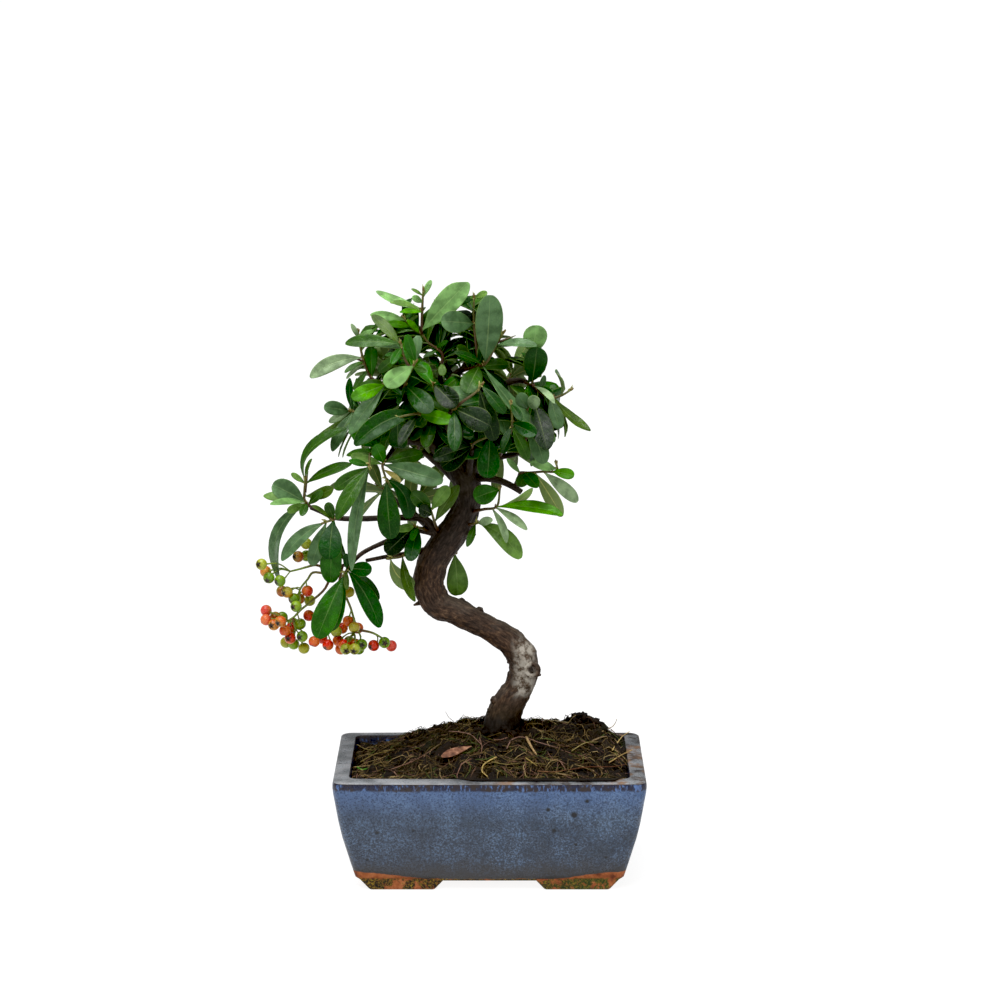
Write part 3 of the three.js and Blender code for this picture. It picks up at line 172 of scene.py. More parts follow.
def surfaced(shader, colour, roughness=None, relief=None, strength=1.0, depth=0.001, normal=None):
    """Joins a material's colour to the shader, with its roughness and its relief where these vary."""
    tree = shader.id_data
    tree.links.new(colour, shader.inputs["Base Color"])
    if roughness is not None:
        tree.links.new(roughness, shader.inputs["Roughness"])
    if relief is not None:
        bump = add_node(tree, "Bump", {"Strength": strength, "Distance": depth, "Height": relief,
            "Normal": normal})
        tree.links.new(bump, shader.inputs["Normal"])


def mesh_of(name, bm):
    """A mesh of the shape held in bm, which is then freed."""
    mesh = bpy.data.meshes.new(name)
    bm.to_mesh(mesh)
    bm.free()
    return mesh


def finished(name, bm, materials, slot, *nodes, rounded=False):
    """A shape made in millimetres, put in its place in metres as a piece that stands for CAD nodes."""
    bmesh.ops.transform(bm, matrix=TO_METRES, verts=bm.verts)
    mesh = mesh_of(name, bm)
    for material in materials:
        mesh.materials.append(material)
    piece = placed(name, mesh)
    mesh.shade_smooth()
    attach(piece, "root")
    if nodes:
        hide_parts(*nodes)
    if rounded:
        smooth = piece.modifiers.new("smooth", "SUBSURF")
        smooth.levels = smooth.render_levels = 1
    return piece


def closed_boundary(geometry):
    """The corners of an extruded ring, and its edges."""
    ring = [item for item in geometry if isinstance(item, bmesh.types.BMVert)]
    corners = set(ring)
    edges = [item for item in geometry if isinstance(item, bmesh.types.BMEdge) and set(item.verts) <= corners]
    return ring, edges


def pot_wall():
    bm = bmesh.new()
    base = bmesh.ops.create_grid(bm, x_segments=1, y_segments=1, size=0.5)["verts"]
    width, height = POT_OUTSIDE[0]
    bmesh.ops.scale(bm, vec=(width, width - WIDTH_OVER_DEPTH, 1), verts=base)
    bmesh.ops.translate(bm, vec=(0, 0, height), verts=base)
    bmesh.ops.bevel(bm, geom=base, offset=POT_CORNER, offset_type="OFFSET", segments=6, profile=0.5,
                    affect="VERTICES", material=-1)
    straight = [edge for edge in bm.edges if edge.calc_length() > STRAIGHT_EDGE]
    bmesh.ops.subdivide_edges(bm, edges=straight, cuts=WALL_CUTS)
    edges = list(bm.edges)
    for next_width, next_height in POT_OUTSIDE[1:] + POT_INSIDE:
        ring, edges = closed_boundary(bmesh.ops.extrude_edge_only(bm, edges=edges)["geom"])
        across = next_width / width
        along = (next_width - WIDTH_OVER_DEPTH) / (width - WIDTH_OVER_DEPTH)
        bmesh.ops.scale(bm, vec=(across, along, 1), verts=ring)
        bmesh.ops.translate(bm, vec=(0, 0, next_height - height), verts=ring)
        width, height = next_width, next_height
    bmesh.ops.contextual_create(bm, geom=edges)
    for vert in bm.verts:
        vert.co.y *= 1 - SIDE_BOW * (vert.co.x / POT_REACH) ** 2
    bmesh.ops.recalc_face_normals(bm, faces=bm.faces)
    return bm


def pot_feet():
    bm = bmesh.new()
    for side in (-1, 1):
        for end in (-1, 1):
            foot = bmesh.ops.create_cube(bm, size=1)["verts"]
            bmesh.ops.scale(bm, vec=FOOT_SIZE, verts=foot)
            sole = [vert for vert in foot if vert.co.z < 0]
            bmesh.ops.scale(bm, vec=(*FOOT_TAPER, 1), verts=sole)
            bmesh.ops.translate(bm, vec=(0, end * SOLE_SHIFT, 0), verts=sole)
            place = (side * FOOT_PLACE[0], end * FOOT_PLACE[1], FOOT_SIZE[2] / 2)
            bmesh.ops.translate(bm, vec=place, verts=foot)
    bmesh.ops.bevel(bm, geom=list(bm.edges), offset=FOOT_ROUNDING, offset_type="OFFSET", segments=3,
        profile=0.5, affect="EDGES", material=-1)
    return bm


def drain_cutters():
    bm = bmesh.new()
    for side in (-1, 1):
        cutter = bmesh.ops.create_cone(bm, cap_ends=True, segments=32, radius1=DRAIN_HOLE / 2,
                                       radius2=DRAIN_HOLE / 2, depth=40)["verts"]
        bmesh.ops.translate(bm, vec=(side * DRAIN_SPACING / 2, 0, 5), verts=cutter)
    return bm


def cut_by(piece, bm, operation):
    """A piece joined with another solid, or cut by it, with the result kept in its mesh."""
    bmesh.ops.transform(bm, matrix=TO_METRES, verts=bm.verts)
    cutter = placed("cutter", mesh_of("cutter", bm))
    modifier = piece.modifiers.new("cut", "BOOLEAN")
    modifier.operation = operation
    modifier.object = cutter
    modifier.solver = "EXACT"
    result = bpy.data.meshes.new_from_object(piece.evaluated_get(bpy.context.evaluated_depsgraph_get()))
    piece.modifiers.clear()
    piece.data = result
    bpy.data.objects.remove(cutter)


def glazed_terracotta():
    """Stoneware glaze on terracotta: glossy and mottled, dark at the rim's edge, with matte clay below."""
    material, add, shader = new_material("glazed_terracotta", IOR=1.5)
    place = millimetres(add)
    axes = add("SeparateXYZ", place, output="all")
    height = axes[2]
    # Clouds of 15 to 30 mm, blue near the rim and greyer lower down
    clouds = add("TexNoise", place, 0.05, 5.0, 0.6)
    blue = add("ValToRGB", clouds, stops=[(0.3, "#29333f"), (0.45, "#2f3b4d"), (0.57, "#384659"),
        (0.72, "#475769")])
    blue = add("Mix", add("MapRange", height, 42.0, 62.0, 0.0, 0.6), blue, "#4b6898")
    blue = add("Mix", add("MapRange", height, 46.0, 20.0, 0.0, 0.6), blue, "#2e333d")
    # Crystals of the glaze, a maze of pale and dark threads about 1 mm apart
    grains = add("TexNoise", place, 0.95, 2.0, 0.6, None, 0.6)
    fine = add("TexNoise", place, 2.2, 2.0)
    patchy = add("MapRange", clouds, 0.36, 0.6, 0.35, 1.0)
    pale = add("Math", add("MapRange", grains, 0.5, 0.62, 0.0, 0.5), patchy, operation="MULTIPLY")
    blue = add("Mix", pale, blue, "#6883a6")
    blue = add("Mix", add("MapRange", grains, 0.48, 0.36, 0.0, 0.6), blue, "#1b2230")
    blue = add("Mix", add("MapRange", fine, 0.6, 0.75, 0.0, 0.2), blue, "#7f90a8")
    # The glaze runs thinner and browner towards the foot
    ripple = add("TexNoise", place, 0.11, 4.0, 0.6)
    wavy = add("Math", ripple, 14.0, height, operation="MULTIPLY_ADD")
    blue = add("Mix", add("MapRange", wavy, 29.0, 16.0, 0.0, 0.8), blue, "#322e2b")
    # Rim: glassy, its upward faces painted pale grey as a painted sheen of the glaze, with soil stains on it,
    # and worn to navy and brown where the glaze breaks over its outer edge
    up = add("SeparateXYZ", add("NewGeometry", output="Normal"), output="Z")
    # Painted sheen: pale grey where the rim's top faces up
    rim_top_sheen = add("Math", add("MapRange", up, 0.45, 0.85), add("MapRange", height, 64.4, 65.8),
        operation="MULTIPLY")
    grey = add("Mix", add("MapRange", clouds, 0.35, 0.65), "#5c5e60", "#8a8d91")
    grey = add("Mix", add("MapRange", fine, 0.5, 0.7, 0.0, 0.4), grey, "#98a0aa")
    dirt = add("TexNoise", place, 0.14, 6.0, 0.7)
    dirty = add("Math", add("MapRange", dirt, 0.42, 0.58, 0.0, 0.9),
        add("MapRange", axes[0], -40.0, 20.0, 0.12, 1.0), operation="MULTIPLY")
    stained = add("Mix", add("MapRange", clouds, 0.42, 0.6), "#241a14", "#7a5a3c")
    grey = add("Mix", dirty, grey, stained)
    blue = add("Mix", rim_top_sheen, blue, grey)
    upright = add("Mapping", {"Vector": place, "Scale": (1.0, 1.0, 0.3)})
    streaks = add("TexNoise", upright, 0.6, 4.0, 0.65)
    lip = add("Math", dirt, 3.4, height, operation="MULTIPLY_ADD")
    breaking = add("Math", add("MapRange", lip, 62.8, 64.2), add("MapRange", up, 0.9, 0.5),
        operation="MULTIPLY")
    edge = add("Mix", add("MapRange", dirt, 0.45, 0.6), "#161b34", "#2a1f1a")
    edge = add("Mix", add("MapRange", streaks, 0.52, 0.64, 0.0, 0.8), edge, "#5674a8")
    edge = add("Mix", add("MapRange", height, 65.0, 65.7, 0.0, 0.8), edge, "#2c221d")
    blue = add("Mix", breaking, blue, edge)
    # A hairline crack across the left end of the rim
    wander = add("Math", dirt, 5.0, axes[1], operation="MULTIPLY_ADD")
    off_line = add("Math", wander, CRACK_PLACE, 0.35, operation="COMPARE")
    at_end = add("Math", add("MapRange", axes[0], -78.0, -80.0), add("MapRange", height, 58.0, 63.0),
        operation="MULTIPLY")
    crack = add("Math", off_line, at_end, operation="MULTIPLY")
    # Pinholes, where gas broke through the glaze
    pinhole = crack
    for x, z, radius in PINHOLES:
        spot = (x, FRONT_FOOT + FRONT_LEAN * z + FRONT_BOW * (x / POT_REACH) ** 2, z)
        gap = add("VectorMath", place, spot, operation="DISTANCE")
        gap = add("Math", fine, 0.8, gap, operation="MULTIPLY_ADD")
        hole = add("MapRange", gap, radius + 1.2, radius * 0.6 + 0.4)
        pinhole = add("Math", pinhole, hole, operation="MAXIMUM")
    cells = add("TexVoronoi", {"Vector": place, "Scale": 0.06, "Randomness": 1.0}, output="all")
    chosen = add("SeparateXYZ", cells[1])
    speck = add("Math", add("MapRange", chosen, 0.6, 1.0, 0.0, 0.055), cells[0], operation="SUBTRACT")
    pinhole = add("Math", pinhole, add("MapRange", speck, -0.02, 0.01), operation="MAXIMUM")
    blue = add("Mix", pinhole, blue, "#15161a")
    # Bare clay: orange, stained, with algae and dark moss on the feet
    stain = add("TexNoise", place, 0.16, 6.0, 0.68)
    clay = add("ValToRGB", stain, stops=[(0.32, "#5a2b14"), (0.5, "#925029"), (0.7, "#b06e44")])
    damp = add("TexNoise", place, 0.12, 6.0, 0.72)
    low = add("MapRange", height, 7.6, 6.0)
    mossy = add("Math", add("MapRange", damp, 0.42, 0.5), low, operation="MULTIPLY")
    moss = add("ValToRGB", grains, stops=[(0.36, "#100d06"), (0.48, "#2a220b"), (0.56, "#6a4c16"),
        (0.68, "#80701e")])
    green = add("MapRange", axes[0], 10.0, 60.0, 0.0, 0.5)
    moss = add("Mix", green, moss, "#33460e")
    clay = add("Mix", mossy, clay, moss)
    # The glaze ends in a wavy line, higher at the corners than between the feet
    reach_x = add("Math", axes[0], operation="ABSOLUTE")
    reach_y = add("Math", axes[1], operation="ABSOLUTE")
    corner = add("Math", add("MapRange", reach_x, 30.0, 80.0), add("MapRange", reach_y, 20.0, 46.0),
        operation="MULTIPLY")
    level = add("Math", corner, -4.6, height, operation="MULTIPLY_ADD")
    level = add("Math", ripple, -2.6, level, operation="MULTIPLY_ADD")
    glazed = add("MapRange", level, GLAZE_EDGE - 1.5, GLAZE_EDGE - 1.0)
    fat_edge = add("MapRange", level, GLAZE_EDGE + 1.4, GLAZE_EDGE - 0.9, 0.0, 0.7)
    blue = add("Mix", fat_edge, blue, "#26221f")
    colour = add("Mix", glazed, clay, blue)
    gloss = add("MapRange", grains, 0.3, 0.7, 0.22, 0.38)
    gloss = add("Mix", dirty, gloss, 0.6, data_type="FLOAT")
    roughness = add("Mix", glazed, 0.86, gloss, data_type="FLOAT")
    relief = add("Math", pinhole, -2.0, grains, operation="MULTIPLY_ADD")
    relief = add("Math", clouds, 2.0, relief, operation="MULTIPLY_ADD")
    surfaced(shader, colour, roughness, relief, 0.35, 0.0008)
    return material


pot = finished("glazed_pot", pot_wall(), [glazed_terracotta()], "glazed_pot", "pot")
cut_by(pot, pot_feet(), "UNION")
cut_by(pot, drain_cutters(), "DIFFERENCE")
pot.data.shade_smooth()
pot.data.set_sharp_from_angle(angle=CREASE)

# Drainage screens: squares of black polypropylene mesh that lie over the two holes, under the soil. The
# solids are kept as they are and only given their material.
def moulded_polypropylene():
    """Moulded polypropylene: a dull, slightly waxy black with a fine grain and dust in its hollows."""
    material, add, shader = new_material("moulded_polypropylene", Roughness=0.6, IOR=1.49)
    place = millimetres(add)
    grain = add("TexNoise", place, 2.4, 3.0)
    colour = add("Mix", grain, "#15181c", "#2f3338")
    surfaced(shader, colour, None, grain, 0.3, 0.0002)
    return material


screen_plastic = moulded_polypropylene()
for name in ("drain_screen_left", "drain_screen_right"):
    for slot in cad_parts[name].material_slots:
        slot.material = screen_plastic

# Root ball and soil: a dark, crumbly mound round the trunk, higher in the middle than the rim, that fills
# the pot and spills over its front edge. Crumbs are loose grains of peat and clay.
RIM_HALF = (80.2, 50.2)
FLOOR_HALF = (71.4, 41.4)
UNDER_RIM = 64.4
POT_FLOOR = 15.4
SOIL_LEVEL = 65
MOUND_HEIGHT = 18
MOUND_MIDDLE = (6, 12)
MOUND_REACH = 84
MOUND_BACK = 44
MOUND_FRONT = 66
CLOD_HEIGHT = 8
CLOD_MIDDLE = (58, 20)
CLOD_SPREAD = (17, 20)
DIP_DEPTH = 5
DIP_MIDDLE = (-57, 48)
DIP_SPREAD = (13, 9)
SUNK_LEFT = 1.8
SPILL = 6.4
SPILL_LEVEL = 67.4
LOWEST_SOIL = 58
SOIL_GRID = (170, 110)
TRUNK_FOOT = (4.5, 4)
# Crumbs strewn over the soil, then those on the clod and those banked round the trunk
CRUMBS = 320
CLOD_CRUMBS = 90
FOOT_CRUMBS = 80
# The field that crumbs are strewn over, and how far the bank stands off the trunk's middle
CRUMB_WIDTH = 150
CRUMB_LENGTH = 88
CRUMB_FRONT = -46
BANK_REACH = 16.5


def dice(seed):
    """Random numbers that come out the same each time."""
    state = seed

    def roll():
        nonlocal state
        state = state * 16807 % 2147483647
        return state / 2147483647
    return roll


def eased(value, low, high):
    share = min(max((value - low) / (high - low), 0), 1)
    return share * share * (3 - 2 * share)


def swelling(x, y, middle, spread):
    """A share that falls smoothly from 1 at its middle to nothing well outside its spread."""
    return math.exp(-((x - middle[0]) / spread[0]) ** 2 - ((y - middle[1]) / spread[1]) ** 2)


def ground(x, y):
    """Height of the soil: a mound round the trunk with small lumps, a clod behind it to the right, and dips
    on the left and in the back left corner."""
    across = (x - MOUND_MIDDLE[0]) / MOUND_REACH
    along = (y - MOUND_MIDDLE[1]) / (MOUND_BACK if y > MOUND_MIDDLE[1] else MOUND_FRONT)
    away = math.hypot(across, along)
    mound = MOUND_HEIGHT * (1 - away ** 2.2) if away < 1 else -1.5 * min(1, (away - 1) * 4)
    clod = CLOD_HEIGHT * swelling(x, y, CLOD_MIDDLE, CLOD_SPREAD)
    sunk = SUNK_LEFT * eased(-x, 14, 44) * eased(y, -30, 10)
    sunk += DIP_DEPTH * swelling(x, y, DIP_MIDDLE, DIP_SPREAD)
    lumps = 0.9 * math.sin(x * 0.31 + y * 0.17) + 0.8 * math.sin(y * 0.37 - x * 0.13)
    return SOIL_LEVEL + mound + clod + lumps - sunk


def crumbly(x, y):
    """Height of the soil with its clumps and crumbs."""
    clumps = noise.fractal(Vector((x, y, 3)) * 0.13, 0.75, 2.1, 6)
    hollows = abs(noise.noise(Vector((x, y, 9)) * 0.12))
    return ground(x, y) + 2.6 * clumps - 2.6 * hollows + 0.5


def spill_at(x):
    return SPILL * eased(x, -24, -6) * (1 - eased(x, 70, 78))


def gathered(whole, part):
    """Adds a small mesh to a larger one, which is quicker than making it there."""
    mesh = mesh_of("part", part)
    whole.from_mesh(mesh)
    bpy.data.meshes.remove(mesh)


def soil_body():
    bm = bmesh.new()
    top = bmesh.ops.create_grid(bm, x_segments=SOIL_GRID[0], y_segments=SOIL_GRID[1], size=1)["verts"]
    for vert in top:
        u, v = vert.co.x, vert.co.y
        square = max(abs(u), abs(v), 1e-6) / max((abs(u) ** 16 + abs(v) ** 16) ** (1 / 16), 1e-6)
        x = u * square * RIM_HALF[0]
        y = v * square * RIM_HALF[1]
        if y < 0:
            y -= spill_at(x) * eased(-y, 38, RIM_HALF[1])
        border = eased(max(abs(u), abs(v)), 0.965, 1)
        lowest = SPILL_LEVEL if y < -RIM_HALF[1] else LOWEST_SOIL
        vert.co = (x, y, max(crumbly(x, y) - 1.2 * border, lowest))
    rim = [edge for edge in bm.edges if edge.is_boundary]
    for half, height in ((RIM_HALF, UNDER_RIM), (FLOOR_HALF, POT_FLOOR)):
        ring, rim = closed_boundary(bmesh.ops.extrude_edge_only(bm, edges=rim)["geom"])
        for vert in ring:
            if height == UNDER_RIM:
                held = min(height, vert.co.z - 1)
                shrink = 1 - (SOIL_LEVEL - held) / 50 * 0.11
                vert.co.x = max(-half[0] * shrink, min(half[0] * shrink, vert.co.x))
                vert.co.y = max(-half[1] * shrink, min(half[1] * shrink, vert.co.y))
                vert.co.z = held
            else:
                vert.co.x *= half[0] / RIM_HALF[0]
                vert.co.y *= half[1] / RIM_HALF[1]
                vert.co.z = height
    bmesh.ops.contextual_create(bm, geom=rim)
    roll = dice(73)
    for k in range(CRUMBS + CLOD_CRUMBS + FOOT_CRUMBS):
        x, y = CRUMB_WIDTH * (roll() - 0.5), CRUMB_FRONT + CRUMB_LENGTH * roll()
        size = 0.5 + 1.2 * roll() ** 2
        piled = 0
        if k >= CRUMBS + CLOD_CRUMBS:
            turn, piled = math.tau * x / CRUMB_WIDTH, 0.03 * (y - CRUMB_FRONT)
            reach = BANK_REACH - 1.5 * piled
            x, y = TRUNK_FOOT[0] + reach * math.cos(turn), TRUNK_FOOT[1] + reach * math.sin(turn)
            size *= 1.5
        elif k >= CRUMBS:
            x, y = CLOD_MIDDLE[0] + (x - 4) * 0.16, CLOD_MIDDLE[1] + 2 + y * 0.3
            size *= 1.6
        crumb = bmesh.new()
        bmesh.ops.create_icosphere(crumb, subdivisions=1, radius=size)
        for vert in crumb.verts:
            vert.co *= 1 + 0.5 * noise.noise(vert.co * 0.7 + Vector((x, y, 0)))
        bmesh.ops.translate(crumb, vec=(x, y, crumbly(x, y) + 0.25 * size + piled), verts=crumb.verts)
        gathered(bm, crumb)
    bmesh.ops.recalc_face_normals(bm, faces=bm.faces)
    return bm


def potting_soil():
    """Damp peat and clay: dark brown, lighter on its crumbs, with painted shade making it almost black in its
    hollows; matte with a few wet glints.
    """
    material, add, shader = new_material("potting_soil", IOR=1.4)
    place = millimetres(add)
    crumbs = add("TexNoise", place, 0.55, 8.0, 0.7)
    patches = add("TexNoise", place, 0.07, 4.0, 0.6)
    # Painted shade: the same noise as the bump, near black where it is lowest
    dark = add("ValToRGB", crumbs, stops=[(0.35, "#070403"), (0.52, "#120b06"), (0.66, "#24180d"),
        (0.78, "#3f2d1a")])
    brown = add("Mix", 0.5, dark, "#2c1f10")
    green = add("Mix", 0.5, dark, "#262c10")
    soil = add("Mix", add("MapRange", patches, 0.45, 0.65), dark, brown)
    moss = add("TexNoise", place, 0.045, 3.0)
    soil = add("Mix", add("MapRange", moss, 0.58, 0.7), soil, green)
    roughness = add("MapRange", crumbs, 0.3, 0.7, 0.72, 0.97)
    surfaced(shader, soil, roughness, crumbs, 0.9, 0.0016)
    return material


finished("soil_and_roots", soil_body(), [potting_soil()], "soil", "soil")

# Litter on the soil: thousands of stalks of dead grass, straw, rootlets and moss, half sunk or arching over
# the crumbs, thin in some patches. The single stalks that catch the eye have their own places.
LITTER = 3300
LITTER_WIDTH = 154
LITTER_LENGTH = 94
LITTER_FRONT = -50
LITTER_LEFT = -80
LITTER_RIGHT = 80.6
LITTER_BACK = 47
BARE_BELOW = -0.16
BARE_SHARE = 0.7
FIRST_SIGHT = -57
SIGHT_STEP = 0.5
OVER_SOIL = 2.2
LITTER_TONES = (
    "#1c160b", "#261f10", "#342a15", "#44381b", "#333118", "#5c4c28", "#6e5c34", "#5e4434", "#857040",
    "#94794a", "#8f6a58", "#b39a68", "#56682c")
# Single stalks and roots that show: half thickness, tone, then the places (x, z) along them as seen
SHOWN_STALKS = [
    (0.85, "#bd9c6c", [(21.5, 78.4), (24.4, 72.6), (27.4, 68)]),
    (0.32, "#a07c6c", [(10, 71.6), (13, 77), (19, 78.6), (28, 75.6), (40, 72)]),
    (0.5, "#c2a862", [(4, 66.4), (-3.4, 62), (-4.4, 57.4), (-1, 54.6)]),
    (0.26, "#8f8048", [(1, 63.6), (10, 62), (20, 63), (33, 62)]),
    (0.22, "#6a5a3a", [(-21, 88), (-24, 90.4), (-26, 94)]),
    (0.2, "#c4b48c", [(22, 90), (34, 89), (46, 87.4)]),
    (0.3, "#a07c6c", [(-24, 82), (-12, 80.4), (-5, 74)]),
    (0.28, "#94705e", [(-6, 78), (-4.6, 72), (-6, 66)]),
    (0.36, "#9a8850", [(-78, 74), (-72, 71), (-60, 70.4)]),
    (0.34, "#8a7840", [(-76, 63.4), (-68, 68), (-56, 71)]),
    (0.34, "#866450", [(-58, 59), (-45, 64), (-32, 72)]),
    (0.36, "#a8904c", [(21, 66), (28, 61)]),
    (0.4, "#c8aa6a", [(72, 70.6), (77, 78), (82, 82)]),
    (0.4, "#b4945a", [(70, 63), (78, 68), (84, 71)]),
    (0.3, "#70432a", [(46, 58.6), (58, 60.4), (72, 60.6), (80, 62)]),
    (0.3, "#8a6040", [(28, 58), (38, 57.4), (46, 59)]),
    (0.3, "#b49a68", [(66, 82), (73, 86), (74.6, 89.6)]),
    (0.55, "#8a7452", [(60, 76), (66, 78.6), (70, 79)]),
    (0.34, "#9c8c54", [(48, 70), (56, 75), (64, 75.6)]),
    (0.5, "#4c8a22", [(-78, 60.4), (-75, 58.8), (-71.5, 59.8)]),
    (0.45, "#8fa04c", [(-18, 72), (-16.6, 70.4)]),
    (0.35, "#4f7a2c", [(5, 84), (6, 88)])]


def bezier_line(places, steps):
    """A smooth line through places, with so many steps from one to the next."""
    padded = [2 * places[0] - places[1], *places, 2 * places[-1] - places[-2]]
    line = []
    for before, start, end, after in zip(padded, padded[1:], padded[2:], padded[3:]):
        a, b, c = (max((q - p).length, 0.01) ** 0.5 for p, q in ((before, start), (start, end), (end, after)))
        leave = ((start - before) / a - (end - before) / (a + b) + (end - start) / b) * b
        arrive = ((end - start) / b - (after - start) / (b + c) + (after - end) / c) * b
        line += interpolate_bezier(start, start + leave / 3, end - arrive / 3, end, steps + 1)[:-1]
    return line + [places[-1]]


def along_line(values, steps):
    """Values given at the places of a line, spread over its finer steps."""
    spread = []
    for first, second in zip(values, values[1:]):
        spread += [first + (second - first) * k / steps for k in range(steps)]
    return spread + [values[-1]]


def add_stem(bm, line, radii, sides, tones):
    """A round closed stem along a line. Each corner keeps its tone and its place on the straight stem."""
    grain = bm.verts.layers.float_vector["grain"]
    tone = bm.verts.layers.float_color["tone"]
    ring = bmesh.ops.create_circle(bm, cap_ends=True, segments=sides, radius=1)["verts"]
    cap = ring[0].link_faces[0]
    edges = list(cap.edges)
    corners = list(ring)
    now = Matrix.Identity(4)
    normal = Vector((0.3, -0.9, 0.2))
    travelled = 0
    for k, (spot, radius) in enumerate(zip(line, radii)):
        tangent = (line[min(k + 1, len(line) - 1)] - line[max(k - 1, 0)]).normalized()
        normal = (normal - normal.dot(tangent) * tangent).normalized()
        binormal = tangent.cross(normal)
        if k:
            ring, edges = closed_boundary(bmesh.ops.extrude_edge_only(bm, edges=edges)["geom"])
            corners += ring
            travelled += (spot - line[k - 1]).length
        then = Matrix((normal * radius, binormal * radius, tangent * radius)).transposed().to_4x4()
        then.translation = spot
        bmesh.ops.transform(bm, matrix=then @ now.inverted(), verts=ring)
        now = then
        flat = then.inverted()
        for vert in ring:
            local = flat @ vert.co
            vert[grain] = (local.x * radius, local.y * radius, travelled)
            vert[tone] = tones[k]
    bmesh.ops.contextual_create(bm, geom=edges)
    faces = {face for vert in corners for face in vert.link_faces}
    bmesh.ops.recalc_face_normals(bm, faces=list(faces))
    return corners


def stem_mesh():
    bm = bmesh.new()
    bm.verts.layers.float_vector.new("grain")
    bm.verts.layers.float_color.new("tone")
    return bm


def seen(x, z, depth=0):
    """A point seen at (x, z) on the plane y = 0, moved along the line of sight to the given depth."""
    return VIEWPOINT + (Vector((x, 0, z)) - VIEWPOINT) * (1 - depth / VIEWPOINT.y)


def seen_places(points, depth=0):
    """Places seen at the (x, z) of points, each with what it adds to the depth."""
    return [seen(x, z, depth + sum(more)) for x, z, *more in points]


def on_soil(x, z):
    """The place where the line of sight through (x, z) first comes down to the soil."""
    for step in range(220):
        spot = seen(x, z, FIRST_SIGHT + step * SIGHT_STEP)
        if ground(spot.x, spot.y) + OVER_SOIL > spot.z:
            break
    return spot


def litter():
    bm = stem_mesh()
    roll = dice(41)
    for _ in range(LITTER):
        x, y = LITTER_WIDTH * (roll() - 0.5), LITTER_FRONT + LITTER_LENGTH * roll() ** 1.15
        heading = 2 * math.pi * roll()
        bend = 3.4 * (roll() - 0.5)
        length = 6 + 20 * roll() ** 1.5
        lift = 0.3 + 2.4 * roll() ** 4
        bare = noise.noise(Vector((x, y, 5)) * 0.07) < BARE_BELOW
        if bare and roll() < BARE_SHARE:
            continue
        places = []
        for k in range(5):
            turn = heading + bend * (k - 2) / 4
            px = min(max(x + (k / 4 - 0.5) * length * math.cos(turn), LITTER_LEFT), LITTER_RIGHT)
            front = -RIM_HALF[1] + 0.2 - spill_at(px)
            py = min(max(y + (k / 4 - 0.5) * length * math.sin(turn), front), LITTER_BACK)
            rise = 0.3 + lift * math.sin(math.pi * k / 4)
            level = 0.6 * crumbly(px, py) + 0.4 * ground(px, py)
            places.append(Vector((px, py, level + rise - (0.7 if k in (0, 4) else 0))))
        colour = linear(LITTER_TONES[int(roll() ** 1.55 * len(LITTER_TONES))])
        thick = 0.13 + 0.2 * roll() ** 2
        stalk = stem_mesh()
        add_stem(stalk, places, [thick * 0.7, thick, thick, thick * 0.8, thick * 0.4], 3, [colour] * 5)
        gathered(bm, stalk)
    for thick, tone, places in SHOWN_STALKS:
        upright = bezier_line([Vector((x, 0, z)) for x, z in places], 4)
        line = bezier_line([on_soil(spot.x, spot.z) for spot in upright][::2], 3)
        radii = [thick * (1 - 0.5 * k / len(line)) for k in range(len(line))]
        stalk = stem_mesh()
        add_stem(stalk, line, radii, 6, [linear(tone)] * len(line))
        gathered(bm, stalk)
    return bm


def dead_grass():
    """Dry grass and rootlets: fibrous, pale straw to dark brown, split and dull."""
    material, add, shader = new_material("dead_grass", Roughness=0.8, IOR=1.45)
    tone = add("Attribute", output="Color", attribute_name="tone")
    grain = add("Attribute", output="Vector", attribute_name="grain")
    fibres = add("TexNoise", grain, 1.3, 3.0)
    worn = add("Mix", add("MapRange", fibres, 0.35, 0.65, 0.0, 0.6), tone, "#2c1f14")
    surfaced(shader, worn)
    return material


finished("dead_grass_litter", litter(), [dead_grass()], "soil")

# Trunk and branches: one piece of wood that leans left, loops back and rises, with cut stubs, knots and
# thorns. Places are given as [x, z, depth, diameter]: (x, z) is read on the upright plane y = 0 from the
# viewpoint, and the depth moves the place along the line of sight.
TRUNK = [
    (4.5, 66, 4, 25), (6.5, 82, 4, 23), (8.5, 92, 4, 20.5), (12, 100, 3, 19.3), (17, 108.5, 2, 17.4),
    (19.8, 118, 0, 16.8), (18.9, 126.4, -1, 17), (14.6, 133.2, -2, 16), (7.6, 139.2, -3, 15),
    (-0.6, 144.2, -3, 14.4), (-10.2, 149, -3, 14.6), (-19.8, 153.6, -2, 15.8), (-30, 158.4, 0, 17),
    (-35.4, 169.4, 1, 17.4), (-34, 181, 2, 17.4), (-28.6, 190.4, 3, 17.3), (-22, 199.6, 3, 17.4),
    (-16.4, 209, 3, 16.6), (-12.8, 218.5, 2, 15.4), (-12.8, 228, 2, 16.4), (-15.6, 237, 1, 17.6),
    (-20.5, 244.5, 0, 14.6), (-27, 249.8, -1, 11.8), (-35.5, 255.5, -1, 10.4), (-45, 257, -1, 9),
    (-55, 255.8, -1, 7), (-62.5, 255, -1, 5.2)]
